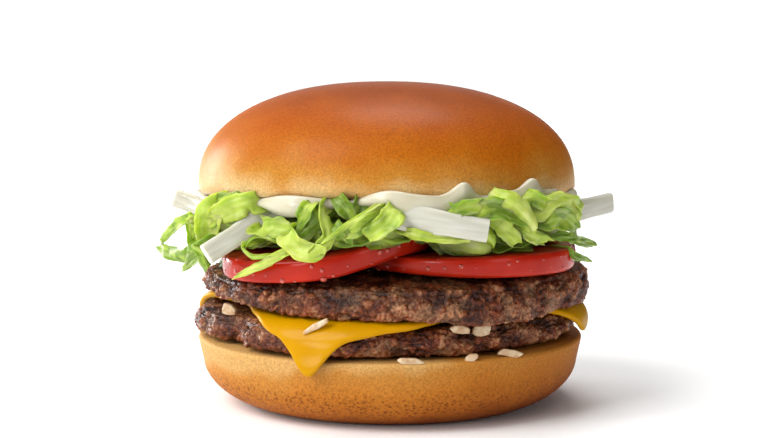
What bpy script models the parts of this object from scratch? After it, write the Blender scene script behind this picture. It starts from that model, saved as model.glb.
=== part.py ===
"""A double hamburger as it is served: heel, two beef patties with a slice of cheese between them, two
slices of tomato, shredded lettuce with slivers of onion, mayonnaise and the crown of the bun.

Metres, with +Z up, +X to the right and -Y to the front. The origin is the centre of the heel's base.
Azimuths are in degrees round +Z from +X, so the front is at -90.
"""

import math
import random

import bmesh
import bpy
from mathutils import Matrix, Vector, noise

# Bun
HEEL_TOP_RADIUS = 0.0511
HEEL_SIDE_RADIUS = 0.0498
HEEL_FLAT_RADIUS = 0.0340
HEEL_HEIGHT = 0.0183
HEEL_CURVE_HEIGHT = 0.0114
HEEL_CURVE_POWER = 1.77
CROWN_RADIUS = 0.0500
CROWN_LOW = 0.0550
CROWN_HIGH = 0.0849
CROWN_LIP_HEIGHT = 0.0026
CROWN_LIP_INSET = 0.0022
CROWN_ROUND_POWER = 2.22
CROWN_HEIGHT_POWER = 2.29
CROWN_TILT = math.radians(4.3)
CROWN_OFFSET = Vector((-0.0009, 0.0, 0.0))
BUN_UNEVENNESS = 0.0005

# Meat
LOWER_PATTY_RADIUS = 0.0502
LOWER_PATTY_CENTRE = (-0.0008, 0.0)
LOWER_PATTY_LOW = 0.0187
LOWER_PATTY_HIGH = 0.0265
LOWER_PATTY_ROUND = 0.0050
UPPER_PATTY_RADIUS = 0.0514
UPPER_PATTY_CENTRE = (0.0009, 0.0)
UPPER_PATTY_LOW = 0.0288
UPPER_PATTY_HIGH = 0.0378
UPPER_PATTY_ROUND = 0.0030
CRAG_DEPTH = 0.0018
CRAG_PITCH = 0.0046
# Each lobe is an azimuth, a half width in degrees, and how far the rim stands out there.
LOWER_PATTY_LOBES = ((-170, 18, 0.0012), (-146, 7, -0.0040), (-124, 14, 0.0010), (-84, 12, -0.0010),
                     (-66, 10, 0.0004), (-52, 22, -0.0022), (20, 24, 0.0006), (95, 20, -0.0012))
UPPER_PATTY_LOBES = ((-160, 22, -0.0014), (-108, 26, -0.0006), (-62, 20, 0.0006), (-8, 14, 0.0012),
                     (60, 16, -0.0012), (128, 18, 0.0008))
UPPER_PATTY_LEFT_SAG = 0.0022
UPPER_PATTY_LEFT_LIFT = 0.0014
UPPER_PATTY_FRONT_SAG = 0.0010
SAG_START = 0.016
SAG_RUN = 0.030
# The underside droops past the cheese, and further in front where no cheese hangs.
DROOP = 0.0018
DROOP_START = 0.0450
DROOP_RUN = 0.0062
BARE_DROOP = 0.0019
BARE_DROOP_START = 0.0425
BARE_DROOP_RUN = 0.0050
BARE_AZIMUTH = -56
BARE_SPAN = 17
BARE_EASING = 0.4

# Cheese
CHEESE_HALF_SIDE = 0.0452
CHEESE_THICKNESS = 0.0016
CHEESE_CORNERS = (-112, -17, 67, 159)
CHEESE_CORNER_SOFTNESS = 0.13
# Each swell is an azimuth, a half width in degrees, and how much further the slice runs there.
CHEESE_SWELLS = ((-120, 5, -0.0022), (-112, 3.5, 0.0012), (-104, 6, -0.0024), (-82, 9, 0.0030),
                 (-50, 23, -0.0076), (-163, 22, -0.0055), (-18, 9, -0.0044))
CHEESE_HANG_RADIUS = 0.0517
CHEESE_BEND_RADIUS = 0.0052
CHEESE_FLARE = 0.0010
CHEESE_FLARE_RUN = 0.0060

# Tomato
TOMATO_THICKNESS = 0.0058
TOMATO_LEFT_CENTRE = (-0.0155, -0.0183)
TOMATO_LEFT_RADIUS = 0.0270
TOMATO_LEFT_LOW_POINT = (-0.0197, -0.0453, 0.0374)
TOMATO_LEFT_RISE = 0.22
TOMATO_LEFT_LEAN = 0.16
TOMATO_LEFT_BEND = 0.0006
TOMATO_RIGHT_CENTRE = (0.0197, -0.0145)
TOMATO_RIGHT_RADIUS = 0.0275
TOMATO_RIGHT_LOW = 0.0383
TOMATO_RIGHT_FALL = 0.02
TOMATO_RIGHT_WEDGE = 0.06
TOMATO_RIGHT_WEDGE_START = 0.030
TOMATO_SKIN_BULGE = 0.0006
TOMATO_LOBES = 0.010

# Onion slivers, each from its start to its end by azimuth, radius and height, then its height and roll.
ONION_THICKNESS = 0.0030
ONION_SLIVERS = {
    "onion_left_rear": ((197, 0.0405, 0.0486), (184, 0.0568, 0.0543), 0.0056, 8),
    "onion_left_front": ((231, 0.0430, 0.0552), (223, 0.0622, 0.0442), 0.0062, 18),
    "onion_centre": ((-91, 0.0502, 0.0551), (-64.5, 0.0555, 0.0513), 0.0062, -6),
    "onion_right": ((-8, 0.0400, 0.0478), (8, 0.0602, 0.0520), 0.0052, 0),
}

# Mayonnaise: a film under the crown, and a bead that is squeezed out round its rim.
MAYO_FILM = 0.0014
MAYO_FILM_RADIUS = 0.0462
MAYO_BEAD_RADIUS = 0.0484
MAYO_BEAD_TOP = -0.0004
MAYO_BEAD_LOW = -0.0019
# Each swell is an azimuth, a half width in degrees, and how far it moves the bead's top, its underside
# and its outer side.
MAYO_SWELLS = ((-118, 10, 0.0012, -0.0028, 0.0036), (-90, 7, 0.0022, 0.0004, 0.0030),
               (-79, 8, 0.0012, -0.0028, 0.0036), (-68, 4.5, 0.0042, 0.0014, 0.0028),
               (-54, 7, 0.0022, 0.0002, 0.0036), (-44, 5, 0.0048, 0.0012, 0.0028),
               (-33, 7, 0.0024, 0.0012, 0.0030), (-14, 10, 0.0020, -0.0004, 0.0028),
               (28, 11, 0.0012, -0.0020, 0.0030), (66, 8, 0.0026, 0.0008, 0.0032),
               (98, 12, 0.0010, -0.0024, 0.0032), (138, 10, 0.0022, 0.0, 0.0030),
               (180, 9, 0.0016, -0.0004, 0.0026))

# Lettuce
LETTUCE_CORE_RADIUS = 0.0405
LETTUCE_CORE_LOW = 0.0384
SHRED_THICKNESS = 0.0010
SHRED_STEPS = 6
SHRED_ROOT_RADIUS = 0.0370
SHRED_WAVE = 0.0006
SHRED_CUP = 0.14
SHRED_END_WIDTH = 0.90
SHRED_SWELL = 0.30
SHRED_TWIST = 0.7
# Shreds that show at the front, each by the azimuth, radius and height of its start, middle and end, then
# its width, and its roll and twist in degrees.
FRONT_SHREDS = (
    ((-158, 0.0515, 0.0483), (-164, 0.0580, 0.0484), (-169, 0.0605, 0.0425), 0.0050, 70, 20),
    ((-152, 0.0560, 0.0400), (-159, 0.0595, 0.0408), (-169, 0.0608, 0.0424), 0.0042, -10, 10),
    ((-156, 0.0540, 0.0515), (-151, 0.0580, 0.0471), (-152, 0.0570, 0.0424), 0.0026, 0, -20),
    ((-160, 0.0520, 0.0421), (-154, 0.0560, 0.0415), (-161, 0.0575, 0.0381), 0.0040, 15, 30),
    ((-154, 0.0530, 0.0444), (-149, 0.0560, 0.0415), (-152, 0.0560, 0.0379), 0.0055, -20, 40),
    ((-156, 0.0500, 0.0523), (-146, 0.0560, 0.0495), (-146, 0.0550, 0.0439), 0.0070, 0, 10),
    ((-137, 0.0440, 0.0557), (-139, 0.0500, 0.0553), (-148, 0.0530, 0.0509), 0.0040, 10, 20),
    ((-149, 0.0420, 0.0562), (-152, 0.0480, 0.0553), (-164, 0.0500, 0.0530), 0.0045, 30, 20),
    ((-119, 0.0460, 0.0486), (-121, 0.0520, 0.0503), (-129, 0.0510, 0.0502), 0.0050, -15, 20),
    ((-121, 0.0470, 0.0500), (-114, 0.0545, 0.0529), (-111, 0.0545, 0.0572), 0.0034, 10, 50),
    ((-129, 0.0430, 0.0526), (-115, 0.0470, 0.0535), (-107, 0.0490, 0.0533), 0.0046, 0, 30),
    ((-121, 0.0480, 0.0494), (-112, 0.0560, 0.0446), (-107, 0.0520, 0.0522), 0.0060, -25, -20),
    ((-119, 0.0470, 0.0477), (-122, 0.0560, 0.0455), (-135, 0.0540, 0.0380), 0.0036, -20, 30),
    ((-110, 0.0480, 0.0477), (-102, 0.0530, 0.0524), (-94, 0.0510, 0.0575), 0.0016, 0, 20),
    ((-106, 0.0440, 0.0560), (-106, 0.0480, 0.0556), (-102, 0.0470, 0.0522), 0.0040, 0, 40),
    ((-87, 0.0460, 0.0560), (-93, 0.0520, 0.0534), (-98, 0.0520, 0.0487), 0.0064, 0, 25),
    ((-88, 0.0420, 0.0560), (-95, 0.0460, 0.0549), (-101, 0.0470, 0.0517), 0.0050, -20, 10),
    ((-102, 0.0440, 0.0514), (-104, 0.0480, 0.0493), (-108, 0.0470, 0.0469), 0.0046, -20, 20),
    ((-86, 0.0470, 0.0500), (-81, 0.0545, 0.0488), (-73, 0.0530, 0.0486), 0.0040, -25, 10),
    ((-71, 0.0470, 0.0550), (-68, 0.0530, 0.0582), (-60, 0.0540, 0.0572), 0.0046, 10, -40),
    ((-61, 0.0480, 0.0575), (-59, 0.0560, 0.0566), (-51, 0.0560, 0.0524), 0.0060, -10, 40),
    ((-58, 0.0470, 0.0520), (-59, 0.0540, 0.0507), (-55, 0.0530, 0.0464), 0.0054, 0, 20),
    ((-49, 0.0480, 0.0506), (-51, 0.0550, 0.0494), (-47, 0.0530, 0.0451), 0.0048, 10, 30),
    ((-45, 0.0460, 0.0540), (-39, 0.0530, 0.0567), (-24, 0.0530, 0.0556), 0.0040, 20, 30),
    ((-40, 0.0470, 0.0530), (-42, 0.0550, 0.0517), (-35, 0.0540, 0.0484), 0.0064, -10, 60),
    ((-27, 0.0500, 0.0555), (-27, 0.0545, 0.0525), (-27, 0.0530, 0.0461), 0.0050, 30, 50),
    ((-49, 0.0520, 0.0539), (-46, 0.0560, 0.0505), (-34, 0.0540, 0.0446), 0.0020, 10, 20),
    ((-24, 0.0470, 0.0442), (-18, 0.0520, 0.0438), (-8, 0.0555, 0.0438), 0.0026, -10, 60),
    ((-25, 0.0490, 0.0420), (-16, 0.0530, 0.0400), (-4, 0.0546, 0.0366), 0.0026, 60, 20),
)
REAR_SHREDS = 12
REAR_SPAN = (16, 172)
REAR_SEED = 23

# Chopped onion, each bit by its azimuth, radius, height, length and turn.
BIT_HEIGHT = 0.0017
BIT_DEPTH = 0.0026
HEEL_BITS = ((-86, 0.0501, 0.0186, 0.0050, 4), (-66.5, 0.0496, 0.0188, 0.0040, -20),
             (-53.5, 0.0494, 0.0188, 0.0056, 12))
PATTY_BITS = ((-69.5, 0.0470, 0.0252, 0.0042, 10), (-61.5, 0.0460, 0.0253, 0.0048, -15),
              (-146.5, 0.0430, 0.0252, 0.0040, 15))
CHEESE_BITS = ((-110.5, 0.0508, 0.0270, 0.0050, -24),)

GAP = 0.0003
SHORTEST_EDGE = 0.000002
BUN_SIDES = 34
PATTY_SIDES = 56
CHEESE_SIDES = 52
TOMATO_SIDES = 28
MAYO_SIDES = 44
CORE_SIDES = 20


def clear_scene():
    for thing in list(bpy.data.objects):
        bpy.data.objects.remove(thing)


def material(name, colour, roughness):
    made = bpy.data.materials.new(name)
    made.use_nodes = True
    shader = made.node_tree.nodes["Principled BSDF"]
    shader.inputs["Base Color"].default_value = (*colour, 1)
    shader.inputs["Roughness"].default_value = roughness
    shader.inputs["Metallic"].default_value = 0.0
    return made


def polar(azimuth, radius, height):
    turn = math.radians(azimuth)
    return Vector((radius * math.cos(turn), radius * math.sin(turn), height))


def azimuths(sides):
    return [360 * k / sides for k in range(sides)]


def bump(azimuth, centre, width):
    """1 at the centre azimuth, falling to nothing on both sides of it."""
    away = (azimuth - centre + 180) % 360 - 180
    return math.exp(-((away / width) ** 2))


def smooth_step(value):
    value = min(1.0, max(0.0, value))
    return value * value * (3 - 2 * value)


def mesh_object(name, bm, look):
    bmesh.ops.recalc_face_normals(bm, faces=bm.faces)
    mesh = bpy.data.meshes.new(name)
    bm.to_mesh(mesh)
    bm.free()
    mesh.materials.append(look)
    mesh.shade_smooth()
    mesh.set_sharp_from_angle(angle=math.radians(50))
    thing = bpy.data.objects.new(name, mesh)
    bpy.context.scene.collection.objects.link(thing)
    return thing


def solid_of_rings(name, rings, look):
    """A closed body through rings of equal length, with a fan to a centre point at both ends."""
    bm = bmesh.new()
    rows = [[bm.verts.new(point) for point in ring] for ring in rings]
    sides = len(rows[0])
    for low, high in zip(rows, rows[1:]):
        for k in range(sides):
            after = (k + 1) % sides
            bm.faces.new((low[k], low[after], high[after], high[k]))
    for row in (rows[0], rows[-1]):
        centre = bm.verts.new(sum((v.co for v in row), Vector()) / sides)
        for k in range(sides):
            bm.faces.new((row[k], row[(k + 1) % sides], centre))
    bmesh.ops.triangulate(bm, faces=bm.faces)
    return mesh_object(name, bm, look)


def combine(target, others, operation, solver="EXACT"):
    """Joins the others to the target or cuts them from it, and removes them."""
    group = bpy.data.collections.new("operands")
    for other in others:
        group.objects.link(other)
    modifier = target.modifiers.new("combine", "BOOLEAN")
    modifier.operand_type = "COLLECTION"
    modifier.collection = group
    modifier.operation = operation
    modifier.solver = solver
    graph = bpy.context.evaluated_depsgraph_get()
    result = bpy.data.meshes.new_from_object(target.evaluated_get(graph))
    target.modifiers.clear()
    target.data = result
    for other in others:
        bpy.data.objects.remove(other)
    bpy.data.collections.remove(group)


def keep_largest_body(thing):
    """Drops the scraps that a cut leaves beside the main body, and the edges too short to matter."""
    bm = bmesh.new()
    bm.from_mesh(thing.data)
    unseen = set(bm.faces)
    bodies = []
    while unseen:
        body = [unseen.pop()]
        for face in body:
            joined = [edge for edge in face.edges if len(edge.link_faces) == 2]
            for other in {other for edge in joined for other in edge.link_faces} & unseen:
                unseen.remove(other)
                body.append(other)
        bodies.append(body)
    bodies.sort(key=len)
    scraps = [face for body in bodies[:-1] for face in body]
    bmesh.ops.delete(bm, geom=scraps, context="FACES")
    bmesh.ops.dissolve_degenerate(bm, edges=bm.edges, dist=SHORTEST_EDGE)
    bmesh.ops.triangulate(bm, faces=bm.faces)
    bm.to_mesh(thing.data)
    bm.free()


def onion_bit(place, look):
    """A flake of chopped onion: a low six-sided lump with soft corners."""
    azimuth, radius, height, length, turn = place
    bm = bmesh.new()
    bmesh.ops.create_icosphere(bm, subdivisions=1, radius=0.5)
    size = Matrix.Diagonal((length, BIT_DEPTH, BIT_HEIGHT, 1))
    lean = Matrix.Rotation(math.radians(turn), 4, "Y")
    face_out = Matrix.Rotation(math.radians(azimuth + 90), 4, "Z")
    bm.transform(Matrix.Translation(polar(azimuth, radius, height)) @ face_out @ lean @ size)
    return mesh_object("onion_bit", bm, look)


def heel_radius(azimuth, radius):
    around = polar(azimuth, 1.3, 2.0)
    return radius + BUN_UNEVENNESS * noise.noise(around)


def heel(look):
    """The bottom of the bun: a flat spot, a rounded lower edge and a side that leans out to the cut."""
    quarter = [math.radians(a) for a in (0, 20, 38, 54, 70, 90)]
    reach = HEEL_SIDE_RADIUS - HEEL_FLAT_RADIUS
    profile = [(HEEL_FLAT_RADIUS * 0.5, 0.0)]
    for t in quarter:
        out = math.sin(t) ** (2 / HEEL_CURVE_POWER)
        up = 1 - math.cos(t) ** (2 / HEEL_CURVE_POWER)
        profile.append((HEEL_FLAT_RADIUS + reach * out, HEEL_CURVE_HEIGHT * up))
    profile.append((HEEL_TOP_RADIUS - 0.0001, HEEL_HEIGHT - 0.0012))
    profile.append((HEEL_TOP_RADIUS - 0.0008, HEEL_HEIGHT))
    profile.append((HEEL_TOP_RADIUS * 0.5, HEEL_HEIGHT))
    rings = [[polar(a, heel_radius(a, r), z) for a in azimuths(BUN_SIDES)] for r, z in profile]
    made = solid_of_rings("heel", rings, look)
    combine(made, [onion_bit(place, look) for place in HEEL_BITS], "UNION")
    return made


def crown_frame():
    """The crown leans back on what is heaped under its front."""
    low = Matrix.Translation((0, 0, CROWN_LOW))
    return Matrix.Translation(CROWN_OFFSET) @ low @ Matrix.Rotation(-CROWN_TILT, 4, "X")


def crown_underside(y):
    return CROWN_LOW - math.tan(CROWN_TILT) * y


def crown(name, look, grow=0.0):
    """The top of the bun: a dome over a low lip that curls in to the cut."""
    rise = CROWN_HIGH - CROWN_LOW - CROWN_LIP_HEIGHT
    profile = [(CROWN_RADIUS * 0.5, -grow), (CROWN_RADIUS - CROWN_LIP_INSET + grow, -grow),
               (CROWN_RADIUS - CROWN_LIP_INSET * 0.35 + grow, CROWN_LIP_HEIGHT * 0.35)]
    for t in (math.radians(a) for a in (0, 10, 20, 30, 40, 51, 62, 73, 83)):
        out = math.cos(t) ** (2 / CROWN_ROUND_POWER)
        up = math.sin(t) ** (2 / CROWN_HEIGHT_POWER)
        profile.append((CROWN_RADIUS * out + grow, CROWN_LIP_HEIGHT + rise * up + grow * up))
    rings = []
    for radius, height in profile:
        ring = []
        for azimuth in azimuths(BUN_SIDES):
            swell = BUN_UNEVENNESS * noise.noise(polar(azimuth, 1.1, 7.0 + height * 40))
            ring.append(crown_frame() @ polar(azimuth, radius + swell, height))
        rings.append(ring)
    return solid_of_rings(name, rings, look)


def left_share(x):
    return smooth_step((-x - SAG_START) / SAG_RUN)


def front_share(y):
    return smooth_step((-y - SAG_START * 1.6) / SAG_RUN)


def upper_patty_top(x, y):
    return UPPER_PATTY_HIGH - UPPER_PATTY_LEFT_SAG * left_share(x) - UPPER_PATTY_FRONT_SAG * front_share(y)


def upper_patty_bottom(x, y):
    azimuth, radius = math.degrees(math.atan2(y, x)), math.hypot(x, y)
    past_cheese = min(1.0, max(0.0, (radius - DROOP_START) / DROOP_RUN)) ** 2
    bare = math.exp(-((azimuth - BARE_AZIMUTH) / BARE_SPAN) ** 4)
    bare_share = bare * smooth_step((radius - BARE_DROOP_START) / BARE_DROOP_RUN)
    droop = DROOP * past_cheese * (1 - BARE_EASING * bare) + BARE_DROOP * bare_share
    return UPPER_PATTY_LOW + UPPER_PATTY_LEFT_LIFT * left_share(x) - droop


def flat_height(height):
    return lambda x, y: height


# The rim of a patty from its underside to its top: the share of its roundness and of its height.
PATTY_RIM = ((1.0, 0.0), (0.4, 0.08), (0.08, 0.28), (0.0, 0.48), (0.1, 0.70), (0.4, 0.90), (1.0, 1.0))
PATTY_TOP_ROUND = 0.0046
PATTY_FACE_RINGS = (0.45, 0.86)


def patty(name, look, centre, radius, lobes, low_round, bottom, top, seed, grow=0.0):
    """Ground beef pressed into a disc. Its crags are cut in from a smooth envelope, which grow widens."""
    rim = [(radius * share, 0.0) for share in PATTY_FACE_RINGS]
    for inset, share in PATTY_RIM:
        rounding = low_round if share < 0.5 else PATTY_TOP_ROUND
        rim.append((radius - inset * rounding, share))
    rim += [(radius * share, 1.0) for share in reversed(PATTY_FACE_RINGS)]
    rings = []
    for reach, share in rim:
        ring = []
        for azimuth in azimuths(PATTY_SIDES):
            stretch = sum(size * bump(azimuth, at, width) for at, width, size in lobes)
            out = reach * (1 + stretch / radius) + grow * (reach > radius * 0.8)
            flat = polar(azimuth, out, 0)
            x, y = flat.x + centre[0], flat.y + centre[1]
            low, high = bottom(x, y) - grow, top(x, y) + grow
            point = Vector((x, y, low + (high - low) * share))
            if not grow:
                point = with_crag(point, azimuth, share, seed)
            ring.append(point)
        rings.append(ring)
    return solid_of_rings(name, rings, look)


def with_crag(point, azimuth, share, seed):
    """Moves a point of the envelope inwards: at the rim towards the axis, on a face into the meat."""
    rough = noise.noise(point / CRAG_PITCH + Vector((seed, 0, 0)))
    depth = CRAG_DEPTH * (0.5 + 0.5 * rough)
    if 0 < share < 1:
        return point - polar(azimuth, depth, 0)
    return point + Vector((0, 0, depth * 0.4 * (1 if share == 0 else -1)))


def lower_patty(look):
    made = patty("patty_lower", look, LOWER_PATTY_CENTRE, LOWER_PATTY_RADIUS, LOWER_PATTY_LOBES,
                 LOWER_PATTY_ROUND, flat_height(LOWER_PATTY_LOW), flat_height(LOWER_PATTY_HIGH), 3)
    combine(made, [onion_bit(place, look) for place in PATTY_BITS], "UNION")
    return made


def upper_patty(name, look, grow=0.0):
    return patty(name, look, UPPER_PATTY_CENTRE, UPPER_PATTY_RADIUS, UPPER_PATTY_LOBES,
                 UPPER_PATTY_ROUND, upper_patty_bottom, upper_patty_top, 11, grow)


def cheese_reach(azimuth):
    """How far the flat slice runs from the centre: a square with soft corners and melted sides."""
    spans = []
    for k, corner in enumerate(CHEESE_CORNERS):
        following = CHEESE_CORNERS[(k + 1) % 4]
        spans.append((corner, (following - corner) % 360))
    corner, span = next((c, s) for c, s in spans if (azimuth - c) % 360 < s)
    along = ((azimuth - corner) % 360) / span
    from_corner = 0.5 - abs(along - 0.5)
    softened = math.hypot(from_corner, CHEESE_CORNER_SOFTNESS * 0.25)
    square = CHEESE_HALF_SIDE / math.cos(math.radians(45 - 90 * min(0.5, softened)))
    return square + sum(size * bump(azimuth, at, width) for at, width, size in CHEESE_SWELLS)


def cheese_point(azimuth, along, outward):
    """The point this far along the slice, which is flat, bends down over the rim and flares out a little."""
    level = LOWER_PATTY_HIGH + GAP
    flat = CHEESE_HANG_RADIUS - CHEESE_BEND_RADIUS
    if along <= flat:
        return polar(azimuth, along, level + outward)
    bend = min((along - flat) / CHEESE_BEND_RADIUS, math.pi / 2)
    rest = max(0.0, along - flat - CHEESE_BEND_RADIUS * math.pi / 2)
    flare = CHEESE_FLARE * smooth_step(rest / CHEESE_FLARE_RUN)
    radius = flat + (CHEESE_BEND_RADIUS + outward) * math.sin(bend) + flare
    height = level - CHEESE_BEND_RADIUS + (CHEESE_BEND_RADIUS + outward) * math.cos(bend) - rest
    return polar(azimuth, radius, height)


def cheese_azimuths():
    """Closer together near the corners, where the slice's edge turns."""
    found = []
    for k, corner in enumerate(CHEESE_CORNERS):
        span = (CHEESE_CORNERS[(k + 1) % 4] - corner) % 360
        steps = CHEESE_SIDES // 4
        for n in range(steps):
            share = n / steps
            found.append(corner + span * (share - 0.11 * math.sin(2 * math.pi * share)))
    return found


def cheese(look):
    """One slice of melted cheese, with its corners draped over the lower patty."""
    shares = (0.42, 0.74, 0.79, 0.85, 0.93)
    thin = CHEESE_THICKNESS
    rows = [(share, 0.0) for share in shares]
    rows += [(0.994, 0.12 * thin), (1.0, 0.5 * thin), (0.994, 0.88 * thin)]
    rows += [(share, thin) for share in reversed(shares)]
    rings = []
    for share, out in rows:
        rings.append([cheese_point(a, cheese_reach(a) * share, out) for a in cheese_azimuths()])
    made = solid_of_rings("cheese_slice", rings, look)
    combine(made, [onion_bit(place, look) for place in CHEESE_BITS], "UNION")
    return made


def soft_max(first, second, width):
    """The larger of two heights, with the crease between them rounded."""
    return max(first, second) + width * math.log1p(math.exp(-abs(first - second) / width))


def tomato_left_bottom(x, y):
    """The left slice lies on the patty, climbs over the edge of the right slice and rests on it."""
    low_x, low_y, low_z = TOMATO_LEFT_LOW_POINT
    climb = low_z + TOMATO_LEFT_RISE * (x - low_x) + TOMATO_LEFT_LEAN * (y - low_y)
    on_patty = upper_patty_top(x, y) + GAP
    on_slice = tomato_right_bottom(x, y) + tomato_right_thickness(x) + 2 * GAP
    under = soft_max(climb, on_patty, TOMATO_LEFT_BEND)
    return -soft_max(-under, -on_slice, TOMATO_LEFT_BEND)


def tomato_right_bottom(x, y):
    return TOMATO_RIGHT_LOW - TOMATO_RIGHT_FALL * (x - TOMATO_RIGHT_CENTRE[0])


def tomato_right_thickness(x):
    """The right slice is a little thinner towards the end that the other slice lies on."""
    return TOMATO_THICKNESS - TOMATO_RIGHT_WEDGE * max(0.0, TOMATO_RIGHT_WEDGE_START - x)


def tomato_left_thickness(x):
    return TOMATO_THICKNESS


def tomato(name, look, centre, radius, bottom, thickness, grow=0.0, down_to=None):
    """A slice across a tomato: two cut faces and a skin that bulges a little between them."""
    rows = ((radius * 0.5, 0.0), (radius - 0.0002, 0.0), (radius + TOMATO_SKIN_BULGE, 0.35),
            (radius + TOMATO_SKIN_BULGE, 0.7), (radius - 0.0002, 1.0), (radius * 0.5, 1.0))
    rings = []
    for reach, share in rows:
        ring = []
        for azimuth in azimuths(TOMATO_SIDES):
            lobed = reach * (1 + TOMATO_LOBES * math.cos(math.radians(5 * azimuth + 90)))
            flat = polar(azimuth, lobed + grow, 0)
            x, y = flat.x + centre[0], flat.y + centre[1]
            height = bottom(x, y) + thickness(x) * share + (grow if share else -grow)
            if down_to is not None and not share:
                height = down_to
            ring.append(Vector((x, y, height)))
        rings.append(ring)
    return solid_of_rings(name, rings, look)


def tomato_left(name, look, **more):
    return tomato(name, look, TOMATO_LEFT_CENTRE, TOMATO_LEFT_RADIUS, tomato_left_bottom,
                  tomato_left_thickness, **more)


def tomato_right(name, look, **more):
    return tomato(name, look, TOMATO_RIGHT_CENTRE, TOMATO_RIGHT_RADIUS, tomato_right_bottom,
                  tomato_right_thickness, **more)


def onion_sliver(name, look, grow=0.0):
    """A sliver of onion: a curved bar with a rounded back, square at its cut ends."""
    start, end, tall, roll = ONION_SLIVERS[name]
    first, last = polar(*start), polar(*end)
    along = (last - first).normalized()
    side = along.cross(Vector((0, 0, 1))).normalized()
    up = Matrix.Rotation(math.radians(roll), 3, along) @ side.cross(along)
    side = along.cross(up)
    half_tall, half_thin = tall / 2 + grow, ONION_THICKNESS / 2 + grow
    outline = [(-1.0, -0.75), (-0.55, -1.0), (0.55, -1.0), (1.0, -0.75),
               (1.0, 0.7), (0.6, 1.0), (-0.6, 1.0), (-1.0, 0.7)]
    steps = 7
    rings = []
    for k in range(steps):
        share = k / (steps - 1)
        bow = (last - first).length * 0.06 * (1 - (2 * share - 1) ** 2)
        slim = 0.86 + 0.14 * math.sin(math.pi * min(1.0, share * 1.6))
        middle = first.lerp(last, share) + side * bow + along * grow * (2 * share - 1)
        rings.append([middle + side * (a * half_thin) + up * (b * half_tall * slim) for a, b in outline])
    return solid_of_rings(name, rings, look)


def mayo_bead(azimuth):
    """The bead's top and underside, measured from the crown's cut, and how far out it reaches."""
    top, low, out = MAYO_BEAD_TOP, MAYO_BEAD_LOW, MAYO_BEAD_RADIUS
    for at, width, higher, lower, further in MAYO_SWELLS:
        share = bump(azimuth, at, width)
        top += higher * share
        low += lower * share
        out += further * share
    return top, low, out


def mayonnaise(name, look, grow=0.0):
    """A spread film that thickens to a bead at its rim, cut clear of the crown and the slivers."""
    frame = crown_frame()
    film_top, film_low = -2 * GAP + grow, -2 * GAP - MAYO_FILM - grow
    columns = []
    for azimuth in azimuths(MAYO_SIDES):
        top, low, out = mayo_bead(azimuth)
        top, low, out = top + grow, low - grow, out + grow
        tall = top - low
        inner = min(MAYO_FILM_RADIUS, out - 0.0012)
        section = ((inner * 0.5, film_top), (inner, max(film_top, top - 0.0012)), (out - 0.0011, top),
                   (out - 0.0002, top - tall * 0.25), (out, top - tall * 0.55),
                   (out - 0.0004, top - tall * 0.83), (out - 0.0016, low),
                   (inner, min(film_low, low + 0.0008)), (inner * 0.5, film_low))
        columns.append([frame @ polar(azimuth, radius, height) for radius, height in section])
    made = solid_of_rings(name, [list(ring) for ring in zip(*columns)], look)
    if not grow:
        combine(made, [crown("crown_room", look, GAP)], "DIFFERENCE")
        for sliver in ONION_SLIVERS:
            combine(made, [onion_sliver(sliver, look, GAP)], "DIFFERENCE")
        keep_largest_body(made)
    return made


def on_curve(places, share):
    """A point of the smooth curve through evenly spaced places."""
    last = len(places) - 1
    at = min(int(share * last), last - 1)
    t = share * last - at
    a, b, c, d = (places[min(max(at + k, 0), last)] for k in (-1, 0, 1, 2))
    square = 2 * a - 5 * b + 4 * c - d
    cube = 3 * b - a - 3 * c + d
    return 0.5 * (2 * b + (c - a) * t + square * t ** 2 + cube * t ** 3)


def shred_frames(start, middle, end, roll, twist):
    """Where each step of a shred is, with the direction of its width and of its face."""
    root = (start[0], SHRED_ROOT_RADIUS, start[2] - 0.0005)
    places = [polar(*place) for place in (root, start, middle, end)]
    frames = []
    for k in range(SHRED_STEPS):
        t = k / (SHRED_STEPS - 1)
        place = on_curve(places, t)
        along = (on_curve(places, min(1.0, t + 0.02)) - on_curve(places, max(0.0, t - 0.02))).normalized()
        outward = Vector((place.x, place.y, 0)).normalized() + Vector((0, 0, 0.35))
        side = along.cross(outward).normalized()
        side = Matrix.Rotation(math.radians(roll + SHRED_TWIST * twist * (t - 0.5)), 3, along) @ side
        frames.append((place, side, side.cross(along)))
    return frames


def shred(row, look):
    """A shred of leaf: a thin strip that runs out from the core, waving, twisting and cupped across."""
    start, middle, end, width, roll, twist = row
    bm = bmesh.new()
    rows = []
    for k, (place, side, face) in enumerate(shred_frames(start, middle, end, roll, twist)):
        t = k / (SHRED_STEPS - 1)
        half = width / 2 * (SHRED_END_WIDTH + SHRED_SWELL * math.sin(math.pi * t))
        ring = []
        for layer in (0.5, -0.5):
            for share in (-1, 0, 1):
                wave = SHRED_WAVE * share * math.sin(11 * t + start[0] + share)
                lift = SHRED_CUP * width * (share * share - 0.5) + wave + layer * SHRED_THICKNESS
                ring.append(bm.verts.new(place + side * half * share + face * lift))
        rows.append(ring)
    for low, high in zip(rows, rows[1:]):
        for a, b in ((0, 1), (1, 2), (2, 5), (3, 0)):
            bm.faces.new((low[a], low[b], high[a]))
            bm.faces.new((low[b], high[b], high[a]))
        for a, b in ((5, 4), (4, 3)):
            bm.faces.new((low[a], low[b], high[b]))
            bm.faces.new((low[a], high[b], high[a]))
    for ring in (rows[0], rows[-1]):
        bm.faces.new((ring[0], ring[1], ring[4], ring[3]))
        bm.faces.new((ring[1], ring[2], ring[5], ring[4]))
    bmesh.ops.triangulate(bm, faces=[f for f in bm.faces if len(f.verts) > 3])
    return mesh_object("shred", bm, look)


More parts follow.
